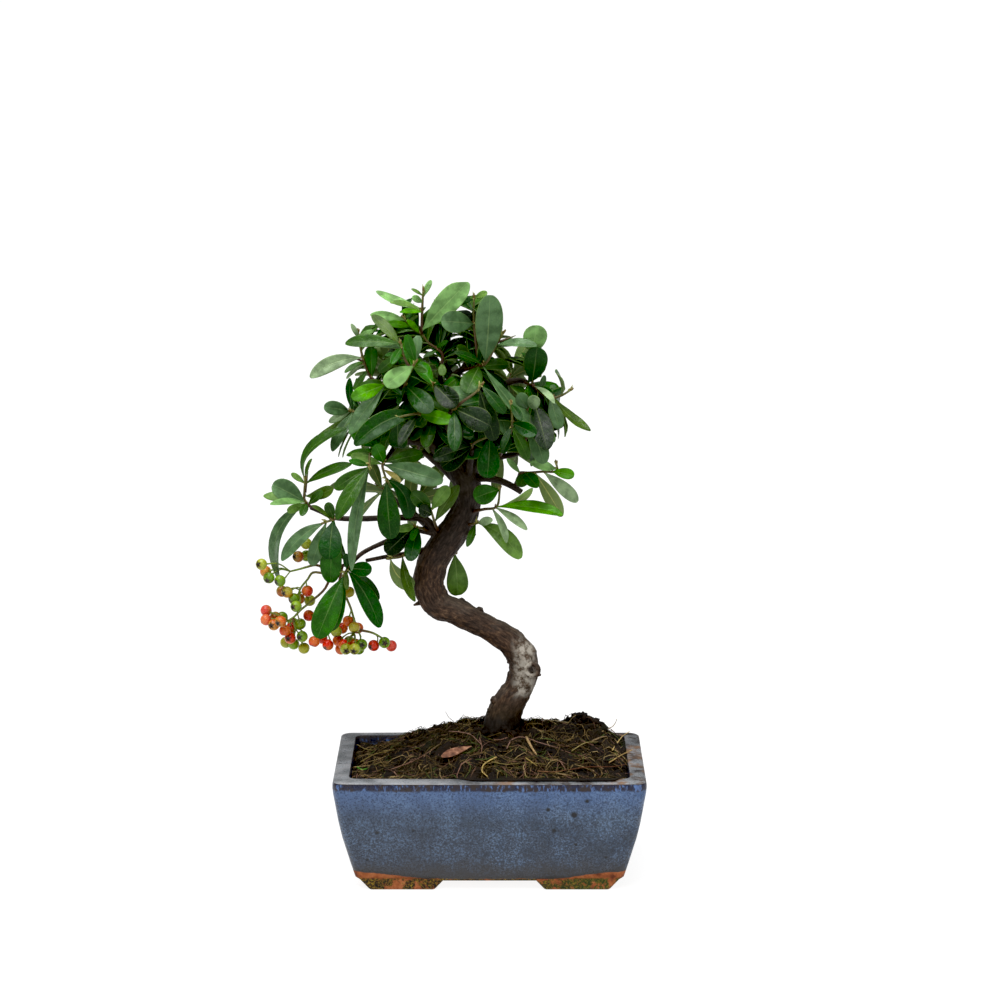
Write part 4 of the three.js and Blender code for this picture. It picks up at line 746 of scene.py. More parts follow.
BRANCHES = [
    [(-25, 248, -1, 9), (-29.5, 260, 1, 7.2), (-30, 274, 2, 6), (-25.5, 286, 2, 4.8), (-17, 295.5, 1, 3.6),
     (-5, 298.6, -2, 2.6)],
    [(-16, 231, 2, 10), (-27, 240, 1, 6), (-38, 249.5, 0, 5)],
    [(-27, 282, 2, 4), (-28.5, 292, 0, 2.8), (-28, 301, -2, 2.2)],
    [(-28, 279, 2, 4.4), (-14, 283, 3, 4.2), (4, 286.6, 3, 4), (17, 290, 1, 3.2), (22.5, 288.6, 0, 2.6)],
    [(-30, 266, 1, 4.6), (-43, 275, 1, 3.6), (-55, 283, 0, 3), (-63, 288, 0, 2.4)],
    [(-39, 256, -1, 4.6), (-50, 262, 2, 3.6), (-65, 269, 4, 2.6)],
    [(-11, 236, 2, 6), (-4, 241, 3, 4.4), (5, 245, 3, 3.6), (15, 247, 1, 3), (21.5, 250.5, -3, 2.4)],
    [(-9, 233, 1, 6), (-3, 233, -2, 4.4), (5, 231.6, -3, 4), (13, 228.2, -4, 3.8), (18.5, 224.6, -4, 3.2)],
    [(14.5, 227.6, -4, 3), (16.4, 232, -4, 2.6), (17.6, 236, -8, 2.2)],
    [(-27, 193, 3, 8), (-33, 202.5, 1, 6.4), (-37.4, 208.6, -1, 4.6), (-48, 209.6, -2, 3.6),
     (-75, 209, -3, 3.2),
     (-90, 209.6, -3, 3), (-97, 212.6, -3, 2.6), (-104, 215.6, -3, 2.4)],
    [(-33, 201, 1, 5), (-45, 202.4, 1, 3.4), (-60, 195.6, 0, 2.8), (-74, 188.6, -2, 2.6),
     (-81, 181.6, -4, 2.2)],
    [(-79, 183.4, -3, 2.4), (-84, 181.6, 1, 2.2), (-90, 180, 4, 2), (-95.6, 179, 6, 1.8)],
    [(-35, 190.4, 2, 5), (-46, 188.8, 3, 2.8), (-60, 186.5, 3, 2.4), (-72, 184.2, 0, 2.2)],
    [(-12, 238, 3, 7), (-5, 247, 14, 5), (0, 258, 27, 3.8), (6, 268, 38, 2.6)],
    [(-28, 256, 1, 6), (-34, 265, 14, 4.6), (-43, 276, 26, 3.4), (-50, 288, 36, 2.4)],
    [(-27, 284, 2, 4), (-18, 293, 13, 3.2), (-12, 304, 22, 2.4)],
    [(-35, 204, 3, 5.4), (-43, 211, 14, 4), (-52, 217, 26, 3.2), (-58, 224, 36, 2.4)],
    [(-18, 244, -2, 6), (-22, 254, -13, 4.6), (-24, 266, -25, 3.4), (-22, 273, -35, 2.4)],
    [(-13, 233, -2, 5), (-11, 243, -13, 3.6), (-10, 250, -23, 2.4)],
    [(-52, 256, -1, 3.6), (-57, 248, -14, 2.8), (-61.4, 242, -27, 2.2)]]
# Stubs, knots and thorns, each from its foot to its head
KNOTS = [
    [(18, 127, -3, 10), (23, 129.8, -3, 8.4), (26.4, 131.8, -3, 5)],
    [(24, 116.4, 0, 5), (27, 116.2, 0, 3.4), (30, 116, 0, 1.2)],
    [(14, 123.4, 0, 4), (12, 123.6, 0, 2.8), (10, 123.6, 0, 1.2)],
    [(-7.6, 150, -2, 9), (-6.2, 153.8, -2, 6.4), (-5.4, 156.4, -2, 3)],
    [(-18.4, 156, -1, 8), (-16.6, 159.6, -1, 5.4), (-15.4, 161.6, -1, 2.6)],
    [(-36, 161, 0, 6), (-41, 159, -1, 3), (-44.4, 157.6, -1, 0.9)],
    [(-18, 201.6, 0, 7), (-12, 200.6, -1, 3.4), (-8, 199.6, -2, 1)],
    [(4, 94, 0, 7), (0.4, 94.6, 0, 4.4), (-1.6, 94.8, 0, 2)],
    [(6, 99, 0, 9), (2.6, 101, 0, 6), (0.8, 102, 0, 3)]]
RING_KNOT = [(24.8, 119, -8.6), 3.6, 1.5]
THICK_BRANCH = 5.5
BARK_STRETCH = 0.35


def seen_stem(bm, points, sides, steps, tone):
    line = bezier_line([seen(x, z, depth) for x, z, depth, _ in points], steps)
    radii = along_line([diameter / 2 for *_, diameter in points], steps)
    return add_stem(bm, line, radii, sides, [tone] * len(line))


def roughened(bm, corners, depth, stretch):
    """Bark relief: ridges that run along the wood, deeper on thick wood."""
    grain = bm.verts.layers.float_vector["grain"]
    bm.normal_update()
    for vert in corners:
        across = Vector((vert[grain].x, vert[grain].y, vert[grain].z * stretch))
        radius = math.hypot(vert[grain].x, vert[grain].y)
        swell = noise.fractal(across * 0.11, 0.9, 2.0, 3)
        ridge = noise.fractal(across * 0.42 + Vector((7, 3, 1)), 0.7, 2.2, 4)
        vert.co += vert.normal * min(radius, 9) / 9 * depth * (1.3 * swell + 0.75 * ridge)


def wood():
    bm = stem_mesh()
    plain = (0.0, 0.0, 0.0, 1.0)
    roughened(bm, seen_stem(bm, TRUNK, 40, 6, plain), 1.0, BARK_STRETCH)
    for points in BRANCHES:
        thick = points[0][3] > THICK_BRANCH
        roughened(bm, seen_stem(bm, points, 18 if thick else 10, 6, plain), 0.8, BARK_STRETCH)
    for points in KNOTS:
        roughened(bm, seen_stem(bm, points, 14, 3, plain), 0.7, 1.0)
    (x, z, depth), reach, thickness = RING_KNOT
    centre = seen(x, z, depth)
    round_knot = []
    for k in range(21):
        turn = math.tau * k / 20
        round_knot.append(centre + Vector((reach * math.cos(turn), -0.5 * math.cos(turn),
            reach * math.sin(turn))))
    roughened(bm, add_stem(bm, round_knot, [thickness] * 21, 10, [plain] * 21), 0.5, 1.0)
    return bm


def firethorn_bark():
    """Bark of old firethorn: brown and rough with fine cracks along it, with a painted grey sheen on its
    upper sides and painted shade under the crown.
    """
    material, add, shader = new_material("firethorn_bark", IOR=1.45)
    grain = add("Attribute", output="Vector", attribute_name="grain")
    place = millimetres(add)
    axes = add("SeparateXYZ", place, output="all")
    long_grain = add("Mapping", {"Vector": grain, "Scale": (1.0, 1.0, 0.38)})
    ridges = add("TexNoise", long_grain, 0.72, 8.0, 0.68)
    patches = add("TexNoise", place, 0.085, 5.0, 0.62)
    brown = add("ValToRGB", ridges, stops=[(0.32, "#180f08"), (0.45, "#2d1d12"), (0.56, "#46301e"),
        (0.7, "#6c533a")])
    brown = add("Mix", add("MapRange", patches, 0.52, 0.4, 0.0, 0.45), brown, "#1a110a")
    # Painted shade: the trunk darkens from 170 mm up, where the crown shades it
    brown = add("Mix", add("MapRange", axes[2], 170.0, 210.0, 0.0, 0.75), brown, "#120c05")
    # Painted sheen: grey on the upper sides, where the light from above falls
    up = add("SeparateXYZ", add("NewGeometry", output="Normal"), output="Z")
    sheen_facing_up = add("Math", patches, 1.3, up, operation="MULTIPLY_ADD")
    grey = add("Mix", ridges, "#332b24", "#776c60")
    bark = add("Mix", add("MapRange", sheen_facing_up, 0.9, 1.55, 0.0, 0.55), brown, grey)
    # Pale crustose lichen on the right of the lower bend
    bend = add("Math", add("MapRange", axes[2], 101.0, 109.0), add("MapRange", axes[2], 144.0, 134.0),
        operation="MULTIPLY")
    right = add("Math", bend, add("MapRange", axes[0], 11.0, 18.0), operation="MULTIPLY")
    right = add("Math", right, add("MapRange", axes[0], 29.0, 23.0), operation="MULTIPLY")
    crust = add("TexNoise", place, 0.22, 6.0, 0.7)
    lichen = add("Math", right, add("MapRange", crust, 0.33, 0.54, 0.0, 0.95), operation="MULTIPLY")
    bark = add("Mix", lichen, bark, add("Mix", add("MapRange", crust, 0.4, 0.62), "#5c4f40", "#aca599"))
    # The eye of the ring knot, where a twig was lost and the bark closed round it
    eye = add("VectorMath", place, tuple(seen(*RING_KNOT[0])), operation="DISTANCE")
    eye = add("Math", crust, 1.6, eye, operation="MULTIPLY_ADD")
    bark = add("Mix", add("MapRange", eye, 3.6, 2.4, 0.0, 0.85), bark, "#2a1d14")
    # Damp bark with algae low down, and dark patches from 214 mm up below the crown, both in the same dark
    # tones
    low = add("MapRange", axes[2], 106.0, 88.0, 0.0, 0.65)
    high = add("Math", add("MapRange", axes[2], 214.0, 232.0, 0.0, 0.5), add("MapRange", patches, 0.42, 0.6),
        operation="MULTIPLY")
    damp = add("Math", low, high, operation="MAXIMUM")
    bark = add("Mix", damp, bark, add("Mix", crust, "#130f09", "#473c26"))
    # Soil splashed on the foot
    splashed = add("Math", crust, 22.0, axes[2], operation="MULTIPLY_ADD")
    bark = add("Mix", add("MapRange", splashed, 107.0, 97.0, 0.0, 0.85), bark, "#140d07")
    roughness = add("MapRange", ridges, 0.35, 0.7, 0.8, 0.5)
    surfaced(shader, bark, roughness, ridges, 0.8, 0.0009)
    return material


finished("trunk_and_branches", wood(), [firethorn_bark()], "bark", "trunk")

# Leafy shoots: narrow evergreen leaves on thin brown twigs. A leaf is (tone, base x, base z, tip x, tip z,
# width seen, depth gained to the tip, bend x, bend z), with a negative width where its underside shows.
# Twig places are (x, z, extra depth). Leaves of the inner shoots and of the crown's inside are strewn.
SHOOTS = [
    {"name": "leaves_top", "depth": -2,
     "twigs": [[(-28, 298), (-27, 305), (-31, 309), (-35, 311.5), (-39, 316.7), (-43, 319), (-49, 326)],
               [(-39, 316.7), (-38.6, 331), (-38, 342)]],
     "leaves": [("fresh", -38.3, 318.7, -12.1, 347, 14, -9), ("fresh", -38, 338, -33.4, 348, 3.5, 2),
                ("yellow", -38, 339, -44.7, 343, 2, -3), ("fresh", -38.2, 335, -44.3, 338.5, 4, -5),
                ("fresh", -38.6, 331.5, -65, 341.8, 5, 6, -51.4, 335.3),
                ("yellow", -38.6, 330, -57, 335, 3, -6), ("lime", -38.6, 329.4, -51.5, 329.5, 3, -7),
                ("fresh", -48, 325, -68.5, 328, 5.5, -6), ("lime", -45, 321.4, -59, 323.3, 4.5, -9),
                ("lime", -40, 318, -47.5, 325, 3.4, -9), ("yellow", -47, 324, -41, 327.5, 2, 3),
                ("fresh", -43, 319, -60, 316.5, 3, 5), ("bright", -30.5, 309, -24, 313, 2.5, -3),
                ("mid", -29.5, 307.5, -38, 303.5, 2.4, -5), ("yellow", -28, 300.3, -26.8, 292.7, 5, -6)]},
    {"name": "leaves_left_upper", "depth": -24,
     "twigs": [[(-46, 276.5, 25), (-50, 283, 9), (-45, 296), (-42.5, 300.5)], [(-45, 296), (-49, 303),
               (-51, 311)], [(-50, 283, 9), (-60, 287.5, 4)]],
     "leaves": [("bright", -42.6, 300.3, -47.5, 316.5, 6, -4), ("grey", -42.5, 300.4, -41, 316, 6, 4),
                ("fresh", -43.5, 298.5, -60.3, 287, 11, -13), ("mid", -43.8, 297, -36, 295.3, 3.6, -8),
                ("bright", -49.2, 304, -60, 304.5, 2.4, -7), ("bright", -50.5, 309, -56.6, 299.4, 5, -10),
                ("mid", -49.8, 306, -64, 295, 6, 4), ("mid", -51, 311, -83, 311.5, 7.5, 6),
                ("olive", -50.6, 309.5, -67.5, 328, 6.5, 12), ("lime", -58, 287, -79.5, 279.5, 9, -11),
                ("bright", -57, 286.5, -75, 278, 8, -2), ("grey", -60, 287, -81, 258.5, 9, -9),
                ("dark", -49.5, 282.5, -33.4, 271.4, 12, -15), ("dark", -51, 283, -52.5, 275.5, 3, -6),
                ("emerald", -55, 285.6, -50.6, 281.4, 3, -5)]},
    {"name": "leaves_left_middle", "depth": -30,
     "twigs": [[(-30, 263, 30), (-36, 270.5, 8), (-46, 270), (-54, 268)]],
     "leaves": [("lime", -36.5, 270.5, -20.6, 266.3, 8, -12),
                ("dark", -37, 270.3, -78, 252, 12, -5, -60, 266.5),
                ("deep", -38, 270, -52.5, 251.5, 6, -12), ("dark", -53, 268, -52.5, 250.6, 11, 4)]},
    {"name": "leaves_upper_middle", "depth": -28,
     "twigs": [[(-29.6, 275, 29), (-31, 282, 12), (-32.5, 288)]],
     "leaves": [("deep", -32.4, 287.5, -19.2, 274.6, 12, -8)]},
    {"name": "leaves_far_left_upper", "depth": 3,
     "twigs": [[(-61, 287.2, -3), (-68, 291.5), (-72, 300), (-74, 308), (-75.4, 318)]],
     "thorns": [[(-72.4, 301), (-83, 305)]],
     "leaves": [("silver", -73, 303, -103.3, 291.5, 9, -6, -89, 300.6),
                ("mid", -72.5, 301, -83.4, 294.5, 3, -7), ("silver", -72, 299.6, -82.5, 291, 2.4, -2),
                ("mid", -71.4, 298, -80, 295, 2.2, 5), ("mid", -70, 296, -78.5, 284.5, 4, -5),
                ("bright", -67.6, 291.5, -68, 310, 8, 5), ("silver", -75, 314, -79.4, 322.8, 3, -3),
                ("fresh", -75, 316, -66.4, 318.8, 3, -3)]},
    {"name": "leaves_left_outer", "depth": 8,
     "twigs": [[(-63, 268.4, -5), (-72, 271.4, -1), (-80.5, 272)]],
     "leaves": [("emerald", -79, 272, -80.6, 291.5, 4.5, 4), ("grey", -80.4, 272, -95.6, 274.6, 8.4, -10),
                ("silver", -80, 271.8, -92.8, 265.6, 4.5, -2),
                ("olive", -79.6, 271.8, -102, 254.3, 5, -6, -90, 261.4),
                ("grey", -78.6, 271.8, -91, 248.5, 7, -13)]},
    {"name": "leaves_crown", "depth": -12,
     "twigs": [[(-16, 295.7, 13), (-5, 298.5, 3), (-2, 300), (4, 311), (8, 317.5)], [(-6, 298.4, 4),
               (-8, 312, 5), (-9, 325, 7), (-9, 338, 7)]],
     "thorns": [[(4.4, 312), (15, 316)]],
     "leaves": [("grey", -3.8, 300.3, 0.2, 339.5, 16, -9), ("grey", -9, 323, -27.8, 324.2, 13, -10),
                ("yellow", -9, 336.6, -1.3, 341, 4, 3), ("emerald", -9, 336, -19.4, 335.2, 4, 4),
                ("dark", -6.4, 299.6, -19.6, 305.8, 4, -9), ("dark", -12, 296.8, -18.8, 303, 2.5, -5),
                ("grey", 3.4, 310.8, 27.4, 310, 5, -9), ("grey", 2.6, 309.4, 13.7, 310.5, 2.4, 5),
                ("grey", -5.6, 297.8, 26.2, 262.3, 7, -18, 12.5, 276),
                ("mid", -9, 297.4, -13.6, 282.6, 12, -18)]},
    {"name": "leaves_right_upper", "depth": -8,
     "twigs": [[(20, 288.9, 8), (24.4, 288), (25, 305)], [(24.4, 288), (30, 282.5), (36, 280), (41, 281),
               (46.4, 284.2)]],
     "leaves": [("fresh", 25, 304.6, 26.6, 322, 14, -16), ("dark", 24.4, 288.6, 27.2, 309.4, 14, -9),
                ("grey", 29, 283.6, 31.7, 293, 3.5, -3), ("dark", 27.4, 285.6, 36.4, 282.6, 5, -8),
                ("olive", 37, 279.9, 58.4, 260.6, 5.4, -8, 46.4, 268.6),
                ("grey", 34.5, 280.2, 40.2, 261.8, 8.5, -9), ("silver", 26, 286.8, 37.4, 276.6, 3.4, -14),
                ("grey", 31, 282, 37, 269.6, 3, 4)]},
    {"name": "leaves_right_middle", "depth": -18,
     "twigs": [[(19.5, 249.6, 16), (22, 262, 4), (22, 274), (26, 279)]],
     "leaves": [("dark", 24.6, 277.4, 29, 259.6, 10, 4), ("grey", 21.6, 273, 16.4, 282, 8, -7),
                ("silver", 22.4, 274.6, 28.4, 279.6, 8, -14), ("deep", 25.6, 278, 33.2, 249.4, 13, -12),
                ("grey", 22.2, 267, 31.7, 241.4, 10.5, -1), ("grey", 22, 260, 24.2, 239.6, 4, -9)]},
    {"name": "leaves_right_inner", "depth": -30,
     "twigs": [[(6, 245.6, 33), (10, 254, 13), (13, 264), (12.4, 276.6)]],
     "leaves": [("emerald", 12.6, 265, 27, 258.2, 8.5, -12), ("dark", 12.4, 276, 18.6, 266.6, 5, -12),
                ("dark", 12, 262, 6.8, 249.6, 4, -7), ("dark", 10.6, 256.4, 7.2, 247.4, 5, -12),
                ("mid", 12.4, 262.6, 22.4, 243.6, 7, -3)]},
    {"name": "leaves_centre_upper", "depth": -38,
     "twigs": [[(-22.2, 272, 4), (-15, 278), (-8, 283), (-4.6, 287.4)], [(-22.2, 272, 4), (-20, 273.4)]],
     "leaves": [("deep", -20.4, 273.4, 0.4, 263.6, 14, -12),
                ("dark", -21.8, 271.8, -20.4, 248.6, 8.5, -9), ("deep", -20.6, 272, -16.6, 252.6, 4, 2),
                ("deep", -6, 285.4, 2.7, 254.6, 10.5, -1), ("dark", -4.8, 287, 9, 270.6, 7, -6)]},
    {"name": "leaves_centre_lower", "depth": -24,
     "twigs": [[(-10.4, 248.6, 3), (-9.4, 253), (0.4, 257.6)]],
     "leaves": [("deep", -10.2, 251.6, -32.6, 244.2, 9, -12), ("deep", -9.6, 251.6, -27.6, 239.2, 12, -4),
                ("emerald", 0.4, 257.2, -1.5, 233, 13.5, -9)]},
    {"name": "leaves_right", "depth": -8,
     "twigs": [[(17.4, 234.6), (18, 236), (22, 236), (31, 236.7), (39, 237), (38.6, 241.4)]],
     "leaves": [("fresh", 38.6, 238, 23.4, 242.2, 6, -8), ("lime", 36, 236.8, 49, 234.4, 6.5, -4),
                ("olive", 26, 236.4, 42.2, 210.2, -9, -12), ("silver", 31, 236.7, 51.2, 219, 8, 2),
                ("mid", 21, 236, 17.4, 227.6, 7.6, -10), ("bright", 20, 236, 28, 227.4, 8, -10),
                ("fresh", 17.8, 235.6, 10, 244.4, 3.6, -4)]},
    {"name": "leaves_trunk_front_right", "depth": -16,
     "twigs": [[(-9, 213.4, 12), (-3, 214.6, 2), (4, 216), (6, 226.8)]],
     "leaves": [("bright", 6, 226.4, -9, 221, 12, -8),
                ("yellow", 4, 216.2, 24.8, 227.2, -4.5, -2, 16, 219),
                ("lime", 4, 215.6, 42.4, 211.2, 7, -5), ("silver", 3, 215.8, 21.8, 202.3, 5, -11),
                ("silver", 1, 215.4, 9.7, 194.6, 4.4, -10)]},
    {"name": "leaves_trunk_right", "depth": -9,
     "twigs": [[(-12, 205.4, 4), (-6.4, 206.5)]],
     "leaves": [("yellow", -7, 206.4, 17.8, 185.2, 11, -12, 7, 199.4),
                ("silver", -7.4, 206.6, 1.7, 208.4, 5, -12), ("mid", -9, 206, -13.2, 192.4, 4.5, -10)]},
    {"name": "leaves_left_front", "depth": -28,
     "twigs": [[(-61, 242.4, 1), (-62, 240), (-59.6, 231.4)], [(-61, 242.4, 1), (-63, 247.4)]],
     "leaves": [("grey", -60.6, 240.5, -27, 230.8, 12, -12), ("mid", -61, 242.2, -38.6, 247, 8, 8),
                ("bright", -61.4, 242, -66.2, 252.6, 8.6, -9), ("yellow", -61.6, 241, -80.4, 246.2, 6, 5),
                ("bright", -63, 247.4, -71.4, 249.8, 3, -5), ("mid", -62.6, 246, -82.8, 246.6, 5, 12),
                ("dark", -59.8, 232, -57.4, 196.9, 13.5, -6),
                ("emerald", -59.7, 232.4, -47.6, 209, 10, 6, -49.4, 223),
                ("straw", -60.6, 238, -51.4, 230.6, 3, -8)]},
    {"name": "leaves_left_strap", "depth": -38,
     "twigs": [[(-60, 255.2, 36), (-66, 251, 19), (-69.4, 246, 4), (-69.4, 239.6)]],
     "leaves": [("mid", -69, 239.6, -89.8, 226.6, 8, -1), ("mid", -68.8, 239.4, -88.8, 208.4, 9, -7),
                ("grey", -68.6, 239.6, -80.4, 177.9, 7.5, -3, -77, 211),
                ("bright", -68.4, 240.4, -81.4, 243.2, 4, -6)]},
    {"name": "leaves_far_left", "depth": -3,
     "twigs": [[(-102, 214.8), (-107, 219), (-107.2, 226), (-106.6, 232.4)]],
     "thorns": [[(-106.8, 224.4), (-105, 237)]],
     "leaves": [("mid", -106.8, 231.4, -82.6, 261.9, 5, -4, -104.4, 248.4),
                ("mid", -107, 229.4, -79.7, 241.2, 6, -6, -95, 236.6),
                ("grey", -107, 219, -125.8, 229.2, 12.5, -8),
                ("yellow", -107, 218.6, -131.2, 222.6, 6, 4),
                ("fresh", -106.6, 218.2, -127.3, 217.5, 4, -7),
                ("yellow", -106, 217.6, -117.4, 213.2, 5, -9), ("mid", -106, 218, -109.2, 210.6, 5, -9),
                ("yellow", -107, 229.8, -114.8, 235.7, 3.6, -3),
                ("yellow", -106.7, 231.8, -102.8, 244.4, 2.2, -2),
                ("olive", -107, 222.4, -90.6, 227.2, 7, -7, -98.4, 223.4),
                ("mid", -105, 217.2, -96.6, 225.4, 5, -8),
                ("grey", -106.4, 217.8, -122.1, 171.3, 7, 4, -123.6, 199.6)]},
    {"name": "leaves_left_hanging", "depth": -12,
     "twigs": [[(-86, 209.7, 8), (-90.5, 208.5, 1), (-96, 206.6)]],
     "leaves": [("mid", -89, 209, -94.4, 218.4, 6, -5), ("olive", -92, 208.2, -103.2, 216.8, 2.4, -5),
                ("grey", -95, 206.9, -120.9, 184, 8, -5, -109.4, 198.2),
                ("grey", -94.6, 207, -103.6, 181.2, 9, -1),
                ("emerald", -90.8, 208.6, -93.2, 184.9, 14, -11),
                ("bright", -88.4, 209, -83.4, 183.4, 5, 7), ("bright", -90, 208.6, -92.6, 170.9, 13, 3)]},
    {"name": "leaves_low_left", "depth": -12,
     "twigs": [[(-79, 183.2, 8), (-83, 179, 1), (-84.8, 175.6)]],
     "leaves": [("bright", -84.6, 176, -100.7, 137.9, 15, -12),
                ("bright", -84, 176.8, -92.6, 142.4, 11, 0),
                ("emerald", -82.6, 178.6, -64.2, 144.2, 11, -8, -71.6, 162.6),
                ("dark", -80.6, 181, -64.3, 161, 6, 9), ("emerald", -81, 181, -68.6, 178.6, 9, -10),
                ("emerald", -83, 179, -83.2, 188.4, 4, -4),
                ("olive", -83.4, 178.4, -83.2, 166.6, 3.4, -6)]},
    {"name": "leaves_trunk_upper", "depth": -16,
     "twigs": [[(-30, 202, 17), (-32, 207, 2), (-34, 214)]],
     "leaves": [("mid", -33.8, 213.4, -45.4, 224.6, 9, -7), ("yellow", -34, 214, -23.6, 228, 8, -6),
                ("olive", -31, 204, -17.8, 228.8, 7.5, -2), ("deep", -33, 211, -41, 215.4, 8, -12)]},
    {"name": "leaves_trunk_left", "depth": -10,
     "twigs": [[(-36, 202, 10), (-43.4, 204.6)]],
     "leaves": [("deep", -43, 204.4, -60.4, 188.6, 11, -6),
                ("emerald", -38, 202.8, -46.4, 183.9, 9.5, -12), ("bright", -39, 203.2, -45, 196, 4, -14),
                ("yellow", -43.2, 204.6, -54, 202.2, 5, -3)]},
    {"name": "leaves_low_middle", "depth": -3,
     "twigs": [[(-48, 188.5, 5), (-52, 186.4), (-58, 185.4)]],
     "leaves": [("mid", -57.6, 185.4, -43.6, 169.4, -10, -8, -53.4, 175),
                ("olive", -49, 187.8, -43.4, 159.8, 6, -12)]},
    {"name": "leaves_behind_trunk", "depth": 11,
     "twigs": [[(-25, 191.4, -4), (-20.4, 189)]],
     "leaves": [("yellow", -20.4, 189, -18.4, 163.4, 13, 2), ("deep", -21, 189.4, -25.6, 196, 4, 6)]}]
# Shoots behind and inside the crown: start and end as (x, z, depth), leaves borne and their length
INNER_SHOOTS = [
    ("leaves_back_right", (4.5, 265, 34), (10, 277, 47), 7, 29, 11),
    ("leaves_back_right_low", (-1, 256, 25), (9, 253, 43), 7, 28, 12),
    ("leaves_back_middle", (-4, 249, 15), (-15, 254, 34), 7, 28, 13),
    ("leaves_back_left_top", (-49, 286, 34), (-54, 297, 45), 7, 29, 14),
    ("leaves_back_top", (-42, 275, 25), (-34, 287, 44), 7, 30, 15),
    ("leaves_back_left", (-36, 267.4, 17), (-52, 266, 35), 7, 29, 16),
    ("leaves_inner_top", (-12.6, 302, 21), (-13, 317, 28), 7, 27, 17),
    ("leaves_inner_left_top", (-20, 291, 11), (-28, 305, 20), 7, 25, 18),
    ("leaves_inner_right_top", (10, 288, 2), (14, 296, 14), 7, 23, 29),
    ("leaves_back_low", (-57, 222, 34), (-65, 229, 44), 7, 28, 20),
    ("leaves_back_low_middle", (-50, 216, 24), (-41, 222, 40), 7, 26, 21),
    ("leaves_back_far_right", (2.4, 262, 32), (18, 262, 40), 7, 27, 24),
    ("leaves_back_centre", (-37, 268.6, 18), (-22, 272, 36), 7, 27, 25),
    ("leaves_inner_right", (13, 249, 3), (17, 262, 20), 7, 22, 22),
    ("leaves_inner_left", (-40, 254, 4), (-44, 243, 16), 6, 21, 23)]
# The grey and silver tones carry a painted sheen: the pale reflection of the light above is put into the
# leaf's colour
LEAF_TONES = {
    "fresh": "#81af65", "lime": "#4c8e0a", "bright": "#266309", "mid": "#325718", "dark": "#113c06",
    "deep": "#081803", "emerald": "#084204", "grey": "#53724a", "silver": "#8da67b", "olive": "#435c1d",
    "yellow": "#6a9041", "straw": "#8c8048"}
# Tones of the leaves inside the crown, grey among them with its painted sheen
INNER_TONES = ("dark", "mid", "emerald", "dark", "mid", "bright", "grey")
BROADEST_LEAF = 12.5
LEAF_SLIMNESS = 0.27
LEAF_ARCH = 0.07
LEAST_TURN = math.radians(8)
LEAF_DROOP = 0.22
CROWN_AXIS = -25
CROWN_FOOT = 243
VIEW_CELL = 2.5
# The dense part of the crown as seen, where no sky shows between the leaves
CROWN_OUTLINE = [
    (-70, 262), (-68, 292), (-54, 312), (-30, 323), (-8, 322), (-3, 306), (16, 300), (40, 296), (48, 272),
    (44, 252),
    (-20, 250), (-58, 252)]
GOLDEN_ANGLE = math.radians(137.5)
LEAF_SWINGS = (0, -5, 5, -10, 10, -15, 15, -21, 21)
HALF_BLADE = 0.35
LEAF_THICKNESS = 0.34
CORNER_SLACK = 0.12
EDGE_ROOM = 0.05
LEAVES_ABREAST = 7
MOST_CROWDED = 2.4
LEAST_BEHIND = 1.5
INNER_STEM = 6.5
# Places along a leaf, with its half width there as a share of the whole: blunt leaves and pointed ones
LEAF_ROWS = (0, 0.07, 0.19, 0.35, 0.52, 0.69, 0.84, 0.945, 1)
BLUNT_LEAF = (0.09, 0.1, 0.36, 0.68, 0.9, 1.0, 0.93, 0.68, 0.3)
POINTED_LEAF = (0.1, 0.12, 0.46, 0.82, 1.0, 0.96, 0.74, 0.4, 0.07)
TWIG_RADII = (1.0, 0.6)
THORN_RADII = (0.8, 0.22)


def square_to(vector, axis):
    """The part of a vector that stands square to an axis, at unit length."""
    return (vector - vector.dot(axis) * axis).normalized()


def posed(leaf, swing):
    """A leaf's bend and the side that it turns up, once its tip is moved along the line of sight."""
    sight = leaf["tip"] - VIEWPOINT
    tip = leaf["tip"] + sight * swing / sight.y
    root = leaf["root"]
    axis = (tip - root).normalized()
    middle = (root + tip) / 2
    if "upper" in leaf:
        face = square_to(leaf["upper"], axis)
    else:
        toward = square_to(VIEWPOINT - middle, axis)
        skyward = axis.cross(toward)
        outward = skyward.x * (root.x - CROWN_AXIS) if abs(skyward.z) < 0.35 else skyward.z
        if outward < 0:
            skyward.negate()
        turn = math.acos(min(1, abs(leaf["seen_width"]) / leaf["width"]))
        turn = max(turn, LEAST_TURN)
        face = toward * math.copysign(math.cos(turn), leaf["seen_width"]) + skyward * math.sin(turn)
    if leaf.get("via"):
        bulge = seen(*leaf["via"], middle.y) - middle
    else:
        bulge = face * LEAF_ARCH * (tip - root).length
    return {"root": root, "tip": tip, "control": middle + 2 * bulge, "face": face, "width": leaf["width"]}


def on_leaf(pose, share):
    """The place and the heading of a leaf's midrib at a share of its length."""
    root, control, tip = pose["root"], pose["control"], pose["tip"]
    place = root * (1 - share) ** 2 + control * 2 * share * (1 - share) + tip * share ** 2
    heading = (control - root) * (1 - share) + (tip - control) * share
    return place, heading.normalized()


def solid_corners(name):
    """The corners of a CAD node, in millimetres from the pot's middle, ready to be searched."""
    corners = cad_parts[name].data.vertices
    tree = KDTree(len(corners))
    to_millimetres = TO_METRES.inverted()
    for k, corner in enumerate(corners):
        tree.insert(to_millimetres @ corner.co, k)
    tree.balance()
    return tree


def pose_in_solid(leaf, corners):
    """The swing at which the CAD solid holds this leaf, found by the two corners at its tip."""
    for swing in LEAF_SWINGS:
        pose = posed(leaf, swing)
        tip, heading = on_leaf(pose, 1)
        up = square_to(pose["face"], heading)
        if all(corners.find(tip + side * HALF_BLADE * up)[2] < CORNER_SLACK for side in (-1, 1)):
            return pose
    return posed(leaf, 0)


